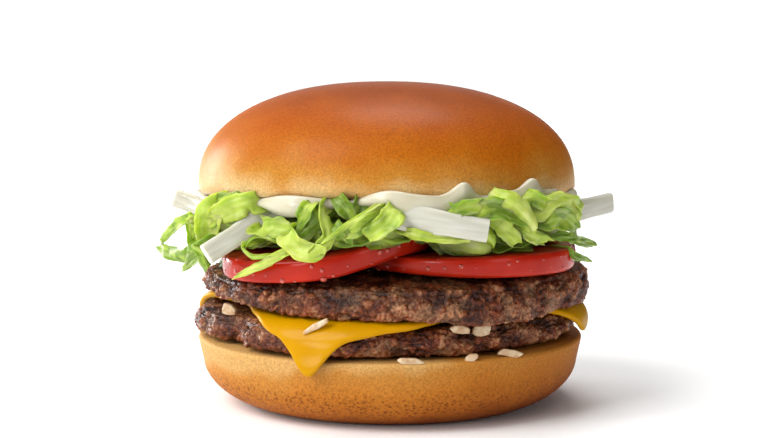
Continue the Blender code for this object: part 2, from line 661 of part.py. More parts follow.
def rear_shreds():
    """Shreds round the sides and the back, spread evenly with a seeded draw in their places and turns."""
    draw = random.Random(REAR_SEED)
    found = []
    for k in range(REAR_SHREDS):
        azimuth = REAR_SPAN[0] + (REAR_SPAN[1] - REAR_SPAN[0]) * k / (REAR_SHREDS - 1)
        level = (0.0495, 0.0450, 0.0475)[k % 3]
        turn = draw.choice((-1, 1)) * draw.uniform(3, 11)
        start = (azimuth, 0.0450, level)
        middle = (azimuth + turn, draw.uniform(0.0495, 0.0535), level + draw.uniform(-0.001, 0.001))
        end = (azimuth + 2.2 * turn, draw.uniform(0.0500, 0.0565), level - draw.uniform(0.0015, 0.0065))
        found.append((start, middle, end, draw.uniform(0.0050, 0.0080), draw.uniform(-30, 40),
                      draw.uniform(-50, 50)))
    return found


def lettuce_core(look):
    """The packed middle of the lettuce, from the tomato up to the mayonnaise."""
    rows = ((0.5, 0.0), (0.76, 0.0), (0.90, 0.25), (1.0, 0.5), (1.0, 0.8), (0.92, 1.0), (0.5, 1.0))
    rings = []
    for reach, share in rows:
        ring = []
        for azimuth in azimuths(CORE_SIDES):
            wave = 1 + 0.03 * noise.noise(polar(azimuth, 1.6, 5 * share))
            flat = polar(azimuth, LETTUCE_CORE_RADIUS * reach * wave, 0)
            top = crown_underside(flat.y) - MAYO_FILM - 4 * GAP
            ring.append(flat + Vector((0, 0, LETTUCE_CORE_LOW + (top - LETTUCE_CORE_LOW) * share)))
        rings.append(ring)
    return solid_of_rings("lettuce", rings, look)


def lettuce(look):
    """The heap of shredded lettuce: a core with the shreds that show fused on, cut clear of the rest."""
    made = lettuce_core(look)
    shreds = [shred(row, look) for row in (*FRONT_SHREDS, *rear_shreds())]
    combine(made, shreds, "UNION")
    under = UPPER_PATTY_LOW
    room = [upper_patty("patty_room", look, GAP), tomato_left("left_room", look, grow=GAP, down_to=under),
            tomato_right("right_room", look, grow=GAP, down_to=under), mayonnaise("mayo_room", look, GAP),
            crown("crown_room", look, GAP)]
    room += [onion_sliver(name, look, GAP) for name in ONION_SLIVERS]
    for cutter in room:
        combine(made, [cutter], "DIFFERENCE")
    keep_largest_body(made)
    return made


def build():
    clear_scene()
    bun = material("toasted bun", (0.62, 0.30, 0.09), 0.45)
    meat = material("grilled beef", (0.13, 0.055, 0.03), 0.55)
    melted = material("melted cheese", (0.83, 0.40, 0.01), 0.3)
    red = material("tomato", (0.56, 0.04, 0.02), 0.25)
    green = material("lettuce", (0.40, 0.52, 0.09), 0.4)
    white = material("onion", (0.82, 0.82, 0.72), 0.25)
    cream = material("mayonnaise", (0.80, 0.76, 0.58), 0.25)
    heel(bun)
    lower_patty(meat)
    cheese(melted)
    upper_patty("patty_upper", meat)
    tomato_left("tomato_left", red)
    tomato_right("tomato_right", red)
    lettuce(green)
    for name in ONION_SLIVERS:
        onion_sliver(name, white)
    mayonnaise("mayonnaise", cream)
    crown("crown", bun)


build()
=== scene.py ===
import math
import random

import bmesh
import bpy
from mathutils import Matrix, Vector, noise


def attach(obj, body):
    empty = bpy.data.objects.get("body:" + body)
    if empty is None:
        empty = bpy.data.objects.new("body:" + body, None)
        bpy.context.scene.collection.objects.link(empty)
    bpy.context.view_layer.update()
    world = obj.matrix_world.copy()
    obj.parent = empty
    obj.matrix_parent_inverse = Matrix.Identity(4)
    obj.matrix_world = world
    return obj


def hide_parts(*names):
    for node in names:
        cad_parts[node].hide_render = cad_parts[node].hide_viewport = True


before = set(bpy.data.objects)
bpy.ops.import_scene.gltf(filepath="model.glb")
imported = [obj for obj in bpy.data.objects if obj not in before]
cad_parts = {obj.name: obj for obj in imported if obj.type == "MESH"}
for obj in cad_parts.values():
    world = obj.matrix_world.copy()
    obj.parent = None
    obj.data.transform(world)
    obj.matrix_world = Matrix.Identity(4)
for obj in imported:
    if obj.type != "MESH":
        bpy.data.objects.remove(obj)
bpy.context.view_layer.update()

MM = 0.001

# The heel of the bun. A soft wheat roll baked on a flat tray and sliced across: the side leans out to
# the cut, the crust is thin and matt, paler towards the cut and browner where it stood on the tray.

HEEL_TOP_RADIUS = 51.1 * MM
HEEL_SIDE_RADIUS = 49.8 * MM
HEEL_FLAT_RADIUS = 34.0 * MM
HEEL_HEIGHT = 18.3 * MM
HEEL_CURVE_HEIGHT = 11.4 * MM
HEEL_CURVE_POWER = 1.77
HEEL_EDGE_ROUND = 1.0 * MM
BUN_SEGMENTS = 220
CRUST_WRINKLE = 0.16 * MM
CRUST_SWELL = 0.5 * MM


def linear(hex_colour):
    """An sRGB hex colour as linear red, green, blue and alpha."""
    channels = [int(hex_colour[k:k + 2], 16) / 255 for k in (1, 3, 5)]
    return (*[c / 12.92 if c <= 0.04045 else ((c + 0.055) / 1.055) ** 2.4 for c in channels], 1.0)


def add(tree, kind, inputs=(), stops=(), **settings):
    """Adds a node with its settings, its colour stops, and a value or a link for each named input."""
    made = tree.nodes.new(kind)
    for name, value in settings.items():
        setattr(made, name, value)
    for name, value in dict(inputs).items():
        if isinstance(value, bpy.types.NodeSocket):
            tree.links.new(value, made.inputs[name])
        else:
            made.inputs[name].default_value = value
    for k, (place, colour) in enumerate(stops):
        ramp = made.color_ramp.elements
        stop = ramp[k] if k < 2 else ramp.new(place)
        stop.position = place
        stop.color = linear(colour)
    return made


def new_material(name, **sockets):
    """A material with one glossy-and-diffuse shader, whose plain values are set on its own sockets."""
    made = bpy.data.materials.new(name)
    made.use_nodes = True
    tree = made.node_tree
    shader = tree.nodes["Principled BSDF"]
    for socket, value in sockets.items():
        shader.inputs[socket.replace("_", " ")].default_value = value
    return made, tree, shader


def dress(piece, nodes):
    """The piece rides on the burger and stands for its solids, whose imported parts are hidden."""
    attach(piece, "root")
    if nodes:
        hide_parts(*nodes)


def polar(azimuth, radius, height):
    turn = math.radians(azimuth)
    return Vector((radius * math.cos(turn), radius * math.sin(turn), height))


def link(name, mesh, material):
    mesh.materials.append(material)
    mesh.shade_smooth()
    piece = bpy.data.objects.new(name, mesh)
    bpy.context.scene.collection.objects.link(piece)
    return piece


def curve_tree(name):
    """An empty geometry tree with its group input and output."""
    tree = bpy.data.node_groups.new(name, "GeometryNodeTree")
    tree.interface.new_socket("Geometry", in_out="INPUT", socket_type="NodeSocketGeometry")
    tree.interface.new_socket("Geometry", in_out="OUTPUT", socket_type="NodeSocketGeometry")
    return tree


def tree_input(tree, name, kind, value):
    socket = tree.interface.new_socket(name, in_out="INPUT", socket_type=kind)
    if value is not None:
        socket.default_value = value
    return socket


def applied(piece, tree, values):
    """The piece's mesh as the tree makes it, with each input set by its socket's identifier."""
    modifier = piece.modifiers.new("shape", "NODES")
    modifier.node_group = tree
    for socket in tree.interface.items_tree:
        if socket.item_type == "SOCKET" and socket.in_out == "INPUT" and socket.name in values:
            modifier[socket.identifier] = values[socket.name]
    graph = bpy.context.evaluated_depsgraph_get()
    mesh = bpy.data.meshes.new_from_object(piece.evaluated_get(graph))
    piece.modifiers.clear()
    piece.data = mesh
    return piece


# Both halves of the bun are a profile turned round the axis, pushed in and out by the dough's own
# unevenness, and leaned.
bun_tree = curve_tree("Baked bun half")
tree_input(bun_tree, "Segments", "NodeSocketInt", BUN_SEGMENTS)
tree_input(bun_tree, "Swell", "NodeSocketFloat", CRUST_SWELL)
tree_input(bun_tree, "Wrinkle", "NodeSocketFloat", CRUST_WRINKLE)
tree_input(bun_tree, "Seed", "NodeSocketFloat", 0.0)
tree_input(bun_tree, "Lean", "NodeSocketFloat", 0.0)
tree_input(bun_tree, "Place", "NodeSocketVector", (0.0, 0.0, 0.0))
tree_input(bun_tree, "Crust", "NodeSocketMaterial", None)
given = add(bun_tree, "NodeGroupInput").outputs
HUB = 1e-5
hub = add(bun_tree, "GeometryNodeCurvePrimitiveCircle", {"Resolution": given["Segments"], "Radius": HUB})
profile = add(bun_tree, "GeometryNodeMeshToCurve", {"Mesh": given["Geometry"]})
turned = add(bun_tree, "GeometryNodeCurveToMesh", {"Curve": hub.outputs[0], "Profile Curve": profile.outputs[0]})
closed = add(bun_tree, "GeometryNodeMergeByDistance", {"Geometry": turned.outputs[0], "Distance": 0.05 * MM})
place = add(bun_tree, "GeometryNodeInputPosition")
direction = add(bun_tree, "GeometryNodeInputNormal")
dough = add(bun_tree, "ShaderNodeTexNoise", {"Vector": place.outputs[0], "W": given["Seed"], "Scale": 26.0,
                                             "Detail": 0.0}, noise_dimensions="4D")
skin = add(bun_tree, "ShaderNodeTexNoise", {"Vector": place.outputs[0], "W": given["Seed"], "Scale": 330.0,
                                            "Detail": 2.0}, noise_dimensions="4D")
dough_out = add(bun_tree, "ShaderNodeMath", {0: dough.outputs[0], 1: 0.5}, operation="SUBTRACT")
skin_out = add(bun_tree, "ShaderNodeMath", {0: skin.outputs[0], 1: 0.5}, operation="SUBTRACT")
dough_far = add(bun_tree, "ShaderNodeMath", {0: dough_out.outputs[0], 1: given["Swell"]}, operation="MULTIPLY")
skin_far = add(bun_tree, "ShaderNodeMath", {0: skin_out.outputs[0], 1: given["Wrinkle"]}, operation="MULTIPLY")
far = add(bun_tree, "ShaderNodeMath", {0: dough_far.outputs[0], 1: skin_far.outputs[0]}, operation="ADD")
push = add(bun_tree, "ShaderNodeVectorMath", {0: direction.outputs[0], "Scale": far.outputs[0]}, operation="SCALE")
uneven = add(bun_tree, "GeometryNodeSetPosition", {"Geometry": closed.outputs[0], "Offset": push.outputs[0]})
turn = add(bun_tree, "ShaderNodeCombineXYZ", {"X": given["Lean"]})
leaned = add(bun_tree, "GeometryNodeTransform", {"Geometry": uneven.outputs[0], "Rotation": turn.outputs[0],
                                                 "Translation": given["Place"]})
smooth = add(bun_tree, "GeometryNodeSetShadeSmooth", {"Geometry": leaned.outputs[0]})
real = add(bun_tree, "GeometryNodeRealizeInstances", {"Geometry": smooth.outputs[0]})
coated = add(bun_tree, "GeometryNodeSetMaterial", {"Geometry": real.outputs[0], "Material": given["Crust"]})
add(bun_tree, "NodeGroupOutput", {0: coated.outputs[0]})


def bun_half(name, outline, crust, values):
    """A bun half from its outline: points of radius and height from the axis at one end to the other."""
    mesh = bpy.data.meshes.new(name)
    spots = [(radius, -height, 0) for radius, height in outline]
    mesh.from_pydata(spots, [(k, k + 1) for k in range(len(spots) - 1)], [])
    piece = bpy.data.objects.new(name, mesh)
    bpy.context.scene.collection.objects.link(piece)
    applied(piece, bun_tree, {**values, "Crust": crust})
    bm = bmesh.new()
    bm.from_mesh(piece.data)
    bmesh.ops.recalc_face_normals(bm, faces=bm.faces)
    bm.to_mesh(piece.data)
    bm.free()
    return piece


def crust_relief(tree, shader, strength):
    """Baked skin: pinprick pores of about 0.5 mm over soft wrinkles of about 2 mm."""
    where = add(tree, "ShaderNodeTexCoord").outputs["Object"]
    pores = add(tree, "ShaderNodeTexNoise", {"Vector": where, "Scale": 1 / (0.5 * MM), "Detail": 2.0})
    folds = add(tree, "ShaderNodeTexNoise", {"Vector": where, "Scale": 1 / (2.2 * MM), "Detail": 2.0})
    both = add(tree, "ShaderNodeMath", {0: pores.outputs[0], 1: folds.outputs[0]}, operation="ADD")
    relief = add(tree, "ShaderNodeBump", {"Height": both.outputs[0], "Strength": strength,
                                          "Distance": 0.12 * MM})
    tree.links.new(relief.outputs[0], shader.inputs["Normal"])
    return where, pores.outputs[0]


def browned_and_side_shaded(tree, where, stops, low, high, mottle, painted_side_shading):
    """Colour stops up the crust's height, shifted by soft mottling 14 mm across, and by painted shading that makes one
    side darker and the other paler.
    """
    patches = add(tree, "ShaderNodeTexNoise", {"Vector": where, "Scale": 1 / (14 * MM), "Detail": 3.0})
    split = add(tree, "ShaderNodeSeparateXYZ", {0: where})
    height = add(tree, "ShaderNodeMapRange", {"Value": split.outputs["Z"], "From Min": low, "From Max": high})
    shift = add(tree, "ShaderNodeMapRange", {"Value": patches.outputs[0], "From Min": 0.3, "From Max": 0.7,
                                             "To Min": -mottle, "To Max": mottle})
    # Painted shading: X shifts the level, so one side comes out darker and the other paler.
    across = add(tree, "ShaderNodeMath", {0: split.outputs["X"], 1: painted_side_shading, 2: shift.outputs[0]},
                 operation="MULTIPLY_ADD")
    level = add(tree, "ShaderNodeMath", {0: height.outputs[0], 1: across.outputs[0]}, operation="ADD")
    return add(tree, "ShaderNodeValToRGB", {0: level.outputs[0]}, stops=stops).outputs[0]


# Bread crust, unglazed: dry and matt, so the light spreads evenly over it.
heel_crust, tree, shader = new_material("Baked wheat crust, matt", Roughness=0.66, Specular_IOR_Level=0.14)
where, pores = crust_relief(tree, shader, 0.55)
PIT_PITCH = 1.05 * MM
pits = add(tree, "ShaderNodeTexVoronoi", {"Vector": where, "Scale": 1 / PIT_PITCH})
pit_tone = add(tree, "ShaderNodeMapRange", {"Value": pits.outputs["Distance"], "From Min": 0.15, "From Max": 0.50,
                                            "To Min": 0.85, "To Max": 0.0})
rising = add(tree, "ShaderNodeSeparateXYZ", {0: where})
pitted = add(tree, "ShaderNodeMapRange", {"Value": rising.outputs["Z"], "From Min": 12.5 * MM,
                                          "From Max": 7.5 * MM, "To Min": 0.06, "To Max": 1.0})
pit_share = add(tree, "ShaderNodeMath", {0: pit_tone.outputs[0], 1: pitted.outputs[0]}, operation="MULTIPLY")
# Painted shade and light: the heel's colour is shifted darker towards the right and paler towards the left.
colour = browned_and_side_shaded(tree, where, ((0.0, "#8a420a"), (0.25, "#ab6016"), (0.55, "#bb7222"), (0.85, "#be8035"),
                               (1.0, "#cb9d5c")), 0.0, HEEL_HEIGHT, 0.10, -6.4)
speck = add(tree, "ShaderNodeMapRange", {"Value": pores, "From Min": 0.35, "From Max": 0.65,
                                         "To Min": 0.76, "To Max": 1.08})
spotted = add(tree, "ShaderNodeMix", {0: 1.0, 6: colour, 7: speck.outputs[0]}, data_type="RGBA",
              blend_type="MULTIPLY")
# Painted shade: the pits are painted a darker brown inside, besides their relief.
pit_painted_shade = add(tree, "ShaderNodeMix", {0: pit_share.outputs[0], 6: spotted.outputs[2], 7: linear("#743708")},
             data_type="RGBA")
tree.links.new(pit_painted_shade.outputs[2], shader.inputs["Base Color"])
fine_relief = shader.inputs["Normal"].links[0].from_socket
pit_relief = add(tree, "ShaderNodeBump", {"Height": pit_share.outputs[0], "Strength": 0.7, "Distance": 0.22 * MM,
                                          "Normal": fine_relief}, invert=True)
tree.links.new(pit_relief.outputs[0], shader.inputs["Normal"])

heel_outline = [(0.0, 0.0), (HEEL_FLAT_RADIUS * 0.6, 0.0)]
for step in range(25):
    t = math.radians(90 * step / 24)
    out = HEEL_FLAT_RADIUS + (HEEL_SIDE_RADIUS - HEEL_FLAT_RADIUS) * math.sin(t) ** (2 / HEEL_CURVE_POWER)
    heel_outline.append((out, HEEL_CURVE_HEIGHT * (1 - math.cos(t) ** (2 / HEEL_CURVE_POWER))))
for step in range(1, 5):
    share = step / 5
    heel_outline.append((HEEL_SIDE_RADIUS + (HEEL_TOP_RADIUS - HEEL_SIDE_RADIUS) * share,
                         HEEL_CURVE_HEIGHT + (HEEL_HEIGHT - HEEL_EDGE_ROUND - HEEL_CURVE_HEIGHT) * share))
for step in range(7):
    t = math.radians(90 * step / 6)
    heel_outline.append((HEEL_TOP_RADIUS - HEEL_EDGE_ROUND * (1 - math.cos(t)),
                         HEEL_HEIGHT - HEEL_EDGE_ROUND * (1 - math.sin(t))))
heel_outline += [(HEEL_TOP_RADIUS * 0.8, HEEL_HEIGHT), (HEEL_TOP_RADIUS * 0.4, HEEL_HEIGHT), (0.0, HEEL_HEIGHT)]
heel_bun = bun_half("heel_bun", heel_outline, heel_crust, {"Seed": 2.0, "Wrinkle": 0.10 * MM})
dress(heel_bun, ["heel"])


# The lower patty. Ground beef pressed thin and seared on a griddle: coarse granules about 2 mm across,
# dark crust on the high spots and brown, wet meat between them. It lies loose on the heel.

CRAG_DEPTH = 1.8 * MM
CRAG_PITCH = 4.6 * MM
GRANULE = 3.1 * MM
GRANULE_HEIGHT = 0.95 * MM
PATTY_AROUND = 900
PATTY_UP = 48
PATTY_RIM = ((1.0, 0.0), (0.4, 0.08), (0.08, 0.28), (0.0, 0.48), (0.1, 0.70), (0.4, 0.90), (1.0, 1.0))
PATTY_TOP_ROUND = 4.6 * MM
LOWER_PATTY_LOBES = ((-170, 18, 0.0012), (-146, 7, -0.0040), (-124, 14, 0.0010), (-84, 12, -0.0010),
                     (-66, 10, 0.0004), (-52, 22, -0.0022), (20, 24, 0.0006), (95, 20, -0.0012))
LOWER_PATTY = {"centre": (-0.8 * MM, 0.0), "radius": 50.2 * MM, "lobes": LOWER_PATTY_LOBES,
               "low_round": 5.0 * MM, "seed": 3}


def bump_share(azimuth, centre, width):
    """1 at the centre azimuth, falling to nothing on both sides of it."""
    away = (azimuth - centre + 180) % 360 - 180
    return math.exp(-((away / width) ** 2))


def smooth_step(value):
    value = min(1.0, max(0.0, value))
    return value * value * (3 - 2 * value)


def on_curve(places, share):
    """A point of the smooth curve through evenly spaced places."""
    last = len(places) - 1
    at = min(int(share * last), last - 1)
    t = share * last - at
    a, b, c, d = (places[min(max(at + k, 0), last)] for k in (-1, 0, 1, 2))
    square = 2 * a - 5 * b + 4 * c - d
    cube = 3 * b - a - 3 * c + d
    return 0.5 * (2 * b + (c - a) * t + square * t ** 2 + cube * t ** 3)


def ring_mesh(name, rings, values=None, uv=False):
    """A closed mesh through equal rings, with a fan at both ends, and a float kept for each point."""
    sides = len(rings[0])
    points = [point for ring in rings for point in ring]
    faces = []
    for k in range(len(rings) - 1):
        for n in range(sides):
            after = (n + 1) % sides
            faces.append((k * sides + n, k * sides + after, (k + 1) * sides + after, (k + 1) * sides + n))
    for k in (0, len(rings) - 1):
        hub_at = len(points)
        points.append(sum(rings[k], Vector()) / sides)
        for n in range(sides):
            faces.append((k * sides + n, k * sides + (n + 1) % sides, hub_at))
    mesh = bpy.data.meshes.new(name)
    mesh.from_pydata(points, [], faces)
    if values is not None:
        kept = mesh.attributes.new("depth", "FLOAT", "POINT")
        flat = [value for row in values for value in row] + [0.5, 0.5]
        kept.data.foreach_set("value", flat)
    bm = bmesh.new()
    bm.from_mesh(mesh)
    bmesh.ops.recalc_face_normals(bm, faces=bm.faces)
    bm.to_mesh(mesh)
    bm.free()
    return mesh


def patty_rows(low_round, radius):
    """Radius and share of height from the middle of the underside, round the rim, to the middle above."""
    rim = []
    for inset, share in PATTY_RIM:
        rounding = low_round if share < 0.5 else PATTY_TOP_ROUND
        rim.append(Vector((radius - inset * rounding, share)))
    rows = [Vector((radius * k / 8, 0.0)) for k in (2, 4, 5.5, 6.5)]
    rows += [on_curve(rim, k / PATTY_UP) for k in range(PATTY_UP + 1)]
    rows += [Vector((radius * k / 48, 1.0)) for k in (42, 40, 38, 36, 34, 31, 28, 24, 18, 12)]
    return rows


def patty_mesh(name, shape, bottom, top):
    radius = shape["radius"]
    rings, depths = [], []
    rows = patty_rows(shape["low_round"], radius)
    for k, row in enumerate(rows):
        before, after = rows[max(k - 1, 0)], rows[min(k + 1, len(rows) - 1)]
        run, rise = after.x - before.x, (after.y - before.y) * 8 * MM
        outward, upward = rise / math.hypot(run, rise), -run / math.hypot(run, rise)
        ring, depth_row = [], []
        for n in range(PATTY_AROUND):
            azimuth = 360 * n / PATTY_AROUND
            stretch = sum(size * bump_share(azimuth, at, width) for at, width, size in shape["lobes"])
            flat = polar(azimuth, row.x * (1 + stretch / radius), 0)
            x, y = flat.x + shape["centre"][0], flat.y + shape["centre"][1]
            share = min(1.0, max(0.0, row.y))
            low, high = bottom(x, y), top(x, y)
            place = Vector((x, y, low + (high - low) * share))
            rough = noise.noise(place / CRAG_PITCH + Vector((shape["seed"], 0, 0)))
            crag = CRAG_DEPTH * (0.5 + 0.5 * rough)
            warped = place + 0.9 * MM * noise.noise_vector(place / (1.9 * MM))
            near, second = noise.voronoi(warped / GRANULE)[0][:2]
            lump = smooth_step((second - near) * 1.7)
            near, second = noise.voronoi(warped / (0.45 * GRANULE))[0][:2]
            crumb = min(1.0, (second - near) * 2.0)
            fine = noise.noise(place / (0.9 * MM)) + 0.5 * noise.noise(place / (0.45 * MM))
            torn = 0.50 + 0.50 * smooth_step(0.5 + 1.3 * noise.noise(place / (9 * MM) + Vector((0, shape["seed"], 0))))
            push = -crag + torn * (GRANULE_HEIGHT * (lump - 0.35) + 0.44 * MM * (crumb - 0.4)) + 0.24 * MM * fine
            push += 0.5 * MM * (1 - share)
            face = 0.55 if abs(upward) > 0.9 else 1.0
            spot = place + polar(azimuth, outward, upward) * push * face
            spot.z = max(spot.z, low)
            ring.append(spot)
            # The kept depth darkens the clefts in the beef's colour, as painted shade.
            depth_row.append(0.5 + push / (3.4 * MM))
        rings.append(ring)
        depths.append(depth_row)
    return ring_mesh(name, rings, depths)


# Seared ground beef: dark brown crust and redder, paler meat mottled together, painted shade darkening the clefts
# between the granules, and beads of melted fat that shine.
seared_beef, tree, shader = new_material("Ground beef, griddle seared", Specular_IOR_Level=0.28,
                                         Coat_Weight=0.10, Coat_Roughness=0.20)
where = add(tree, "ShaderNodeTexCoord").outputs["Object"]
depth = add(tree, "ShaderNodeAttribute", attribute_name="depth").outputs["Fac"]
blotch = add(tree, "ShaderNodeTexNoise", {"Vector": where, "Scale": 1 / (5.5 * MM), "Detail": 3.0})
grain = add(tree, "ShaderNodeTexNoise", {"Vector": where, "Scale": 1 / (0.8 * MM), "Detail": 4.0})
bits_of_meat = add(tree, "ShaderNodeTexVoronoi", {"Vector": where, "Scale": 1 / (1.3 * MM)})
tone = add(tree, "ShaderNodeSeparateColor", {0: bits_of_meat.outputs["Color"]})
mixed = add(tree, "ShaderNodeMath", {0: grain.outputs[0], 1: 0.62, 2: blotch.outputs[0]}, operation="MULTIPLY_ADD")
toned = add(tree, "ShaderNodeMath", {0: tone.outputs[0], 1: 0.15, 2: mixed.outputs[0]}, operation="MULTIPLY_ADD")
meat = add(tree, "ShaderNodeValToRGB", {0: toned.outputs[0]}, stops=(
    (0.48, "#1a0803"), (0.64, "#481a08"), (0.78, "#723215"), (0.92, "#92502a"), (1.0, "#b27c56")))
# Painted shade: the clefts between the granules, low in the kept depth, are darkened to a sixth of the meat's colour.
cleft_painted_shade = add(tree, "ShaderNodeMapRange", {"Value": depth, "From Min": 0.10, "From Max": 0.50, "To Min": 0.16,
                                         "To Max": 1.0})
shaded = add(tree, "ShaderNodeMix", {0: 1.0, 6: meat.outputs[0], 7: cleft_painted_shade.outputs[0]}, data_type="RGBA",
             blend_type="MULTIPLY")
tree.links.new(shaded.outputs[2], shader.inputs["Base Color"])
fat = add(tree, "ShaderNodeTexNoise", {"Vector": where, "Scale": 1 / (1.1 * MM), "Detail": 2.0})
wet = add(tree, "ShaderNodeMapRange", {"Value": fat.outputs[0], "From Min": 0.42, "From Max": 0.62,
                                       "To Min": 0.62, "To Max": 0.18})
tree.links.new(wet.outputs[0], shader.inputs["Roughness"])
grit = add(tree, "ShaderNodeTexNoise", {"Vector": where, "Scale": 1 / (0.45 * MM), "Detail": 2.0})
crumble = add(tree, "ShaderNodeMath", {0: bits_of_meat.outputs["Distance"], 1: -1.0, 2: grit.outputs[0]},
              operation="MULTIPLY_ADD")
fibres = add(tree, "ShaderNodeBump", {"Height": crumble.outputs[0], "Strength": 1.0, "Distance": 0.34 * MM})
tree.links.new(fibres.outputs[0], shader.inputs["Normal"])

LOWER_PATTY_LOW = 18.7 * MM
LOWER_PATTY_HIGH = 26.5 * MM
patty_below = link("patty_below", patty_mesh("patty_below", LOWER_PATTY, lambda x, y: LOWER_PATTY_LOW,
                                             lambda x, y: LOWER_PATTY_HIGH), seared_beef)
dress(patty_below, ["patty_lower"])


# The cheese. One square slice of processed cheese laid on the hot lower patty: it is flat on the meat,
# bends over its edge, and its four corners hang, thin and glossy.

CHEESE_HALF_SIDE = 45.2 * MM
CHEESE_THICKNESS = 1.6 * MM
CHEESE_CORNERS = (-112, -17, 67, 159)
CHEESE_CORNER_SOFTNESS = 0.13
CHEESE_SWELLS = ((-120, 5, -0.0022), (-112, 3.5, 0.0012), (-104, 6, -0.0024), (-82, 9, 0.0030),
                 (-50, 23, -0.0076), (-163, 22, -0.0055), (-18, 9, -0.0044))
CHEESE_HANG_RADIUS = 51.7 * MM
CHEESE_BEND_RADIUS = 5.2 * MM
CHEESE_FLARE = 1.0 * MM
CHEESE_FLARE_RUN = 6.0 * MM
CHEESE_AROUND = 240
CHEESE_ROWS = 34
GAP = 0.3 * MM


def cheese_reach(azimuth):
    """How far the flat slice runs from the centre: a square with soft corners and melted sides."""
    spans = []
    for k, corner in enumerate(CHEESE_CORNERS):
        spans.append((corner, (CHEESE_CORNERS[(k + 1) % 4] - corner) % 360))
    corner, span = next((c, s) for c, s in spans if (azimuth - c) % 360 < s)
    along = ((azimuth - corner) % 360) / span
    from_corner = 0.5 - abs(along - 0.5)
    softened = math.hypot(from_corner, CHEESE_CORNER_SOFTNESS * 0.25)
    square = CHEESE_HALF_SIDE / math.cos(math.radians(45 - 90 * min(0.5, softened)))
    return square + sum(size * bump_share(azimuth, at, width) for at, width, size in CHEESE_SWELLS)


def cheese_point(azimuth, along, outward):
    """The point that lies this far along the slice, which is flat and then bends down over the rim."""
    level = LOWER_PATTY_HIGH + GAP
    flat = CHEESE_HANG_RADIUS - CHEESE_BEND_RADIUS
    if along <= flat:
        return polar(azimuth, along, level + outward)
    bend = min((along - flat) / CHEESE_BEND_RADIUS, math.pi / 2)
    rest = max(0.0, along - flat - CHEESE_BEND_RADIUS * math.pi / 2)
    flare = CHEESE_FLARE * smooth_step(rest / CHEESE_FLARE_RUN)
    radius = flat + (CHEESE_BEND_RADIUS + outward) * math.sin(bend) + flare
    height = level - CHEESE_BEND_RADIUS + (CHEESE_BEND_RADIUS + outward) * math.cos(bend) - rest
    return polar(azimuth, radius, height)


cheese_sweep = []
for k, corner in enumerate(CHEESE_CORNERS):
    span = (CHEESE_CORNERS[(k + 1) % 4] - corner) % 360
    for n in range(CHEESE_AROUND // 4):
        share = n / (CHEESE_AROUND // 4)
        cheese_sweep.append(corner + span * (share - 0.11 * math.sin(2 * math.pi * share)))
cheese_rows = []
for k in range(CHEESE_ROWS + 1):
    share = 0.3 + 0.68 * k / CHEESE_ROWS
    cheese_rows.append((share, 0.0))
for k in range(1, 10):
    t = math.radians(-90 + 18 * k)
    cheese_rows.append((0.98 + 0.02 * math.cos(t), CHEESE_THICKNESS * (0.5 + 0.5 * math.sin(t))))
cheese_rows += [(share, CHEESE_THICKNESS) for share, level in reversed(cheese_rows[:CHEESE_ROWS + 1])]
cheese_rings = []
for share, level in cheese_rows:
    ring = []
    for azimuth in cheese_sweep:
        spot = cheese_point(azimuth, cheese_reach(azimuth) * share, level)
        ripple = 0.22 * MM * noise.noise(spot / (9 * MM)) * (level > CHEESE_THICKNESS / 2)
        ring.append(cheese_point(azimuth, cheese_reach(azimuth) * share, level + ripple))
    cheese_rings.append(ring)

# Melted processed cheese: even orange-yellow, waxy and a little see-through, with a soft broad shine.
melted_cheese, tree, shader = new_material(
    "Processed cheese, melted", Roughness=0.40, Subsurface_Weight=0.25, Subsurface_Radius=(0.005, 0.003, 0.0003),
    Subsurface_Scale=0.3, Specular_IOR_Level=0.03, Coat_Weight=0.15, Coat_Roughness=0.14)
where = add(tree, "ShaderNodeTexCoord").outputs["Object"]
cloud = add(tree, "ShaderNodeTexNoise", {"Vector": where, "Scale": 1 / (11 * MM), "Detail": 2.0})
yellow = add(tree, "ShaderNodeValToRGB", {0: cloud.outputs[0]}, stops=((0.3, "#ba8300"), (0.7, "#c58f00")))
tree.links.new(yellow.outputs[0], shader.inputs["Base Color"])
dimples = add(tree, "ShaderNodeTexNoise", {"Vector": where, "Scale": 1 / (2.5 * MM), "Detail": 1.0})
skin = add(tree, "ShaderNodeBump", {"Height": dimples.outputs[0], "Strength": 0.15, "Distance": 0.2 * MM})
tree.links.new(skin.outputs[0], shader.inputs["Normal"])
cheese = link("cheese", ring_mesh("cheese", cheese_rings), melted_cheese)
dress(cheese, ["cheese_slice"])


# The upper patty. The same ground beef, a little thicker; its left edge sags and thins over the cheese.

UPPER_PATTY_LOBES = ((-160, 22, -0.0014), (-108, 26, -0.0006), (-62, 20, 0.0006), (-8, 14, 0.0012),
                     (60, 16, -0.0012), (128, 18, 0.0008))
UPPER_PATTY = {"centre": (0.9 * MM, 0.0), "radius": 51.4 * MM, "lobes": UPPER_PATTY_LOBES,
               "low_round": 3.0 * MM, "seed": 11}
UPPER_PATTY_LOW = 28.8 * MM
UPPER_PATTY_HIGH = 37.8 * MM
UPPER_PATTY_LEFT_SAG = 2.2 * MM
UPPER_PATTY_LEFT_LIFT = 1.4 * MM
UPPER_PATTY_FRONT_SAG = 1.0 * MM
SAG_START = 16 * MM
SAG_RUN = 30 * MM
UPPER_PATTY_DROOP = 1.8 * MM
UPPER_PATTY_DROOP_START = 45.0 * MM
UPPER_PATTY_DROOP_RUN = 6.2 * MM
BARE_DROOP = 1.9 * MM
BARE_DROOP_START = 42.5 * MM
BARE_DROOP_RUN = 5.0 * MM
BARE_FRONT = -56
BARE_FRONT_SPAN = 17


def left_share(x):
    return smooth_step((-x - SAG_START) / SAG_RUN)


def upper_patty_top(x, y):
    front = smooth_step((-y - SAG_START * 1.6) / SAG_RUN)
    return UPPER_PATTY_HIGH - UPPER_PATTY_LEFT_SAG * left_share(x) - UPPER_PATTY_FRONT_SAG * front


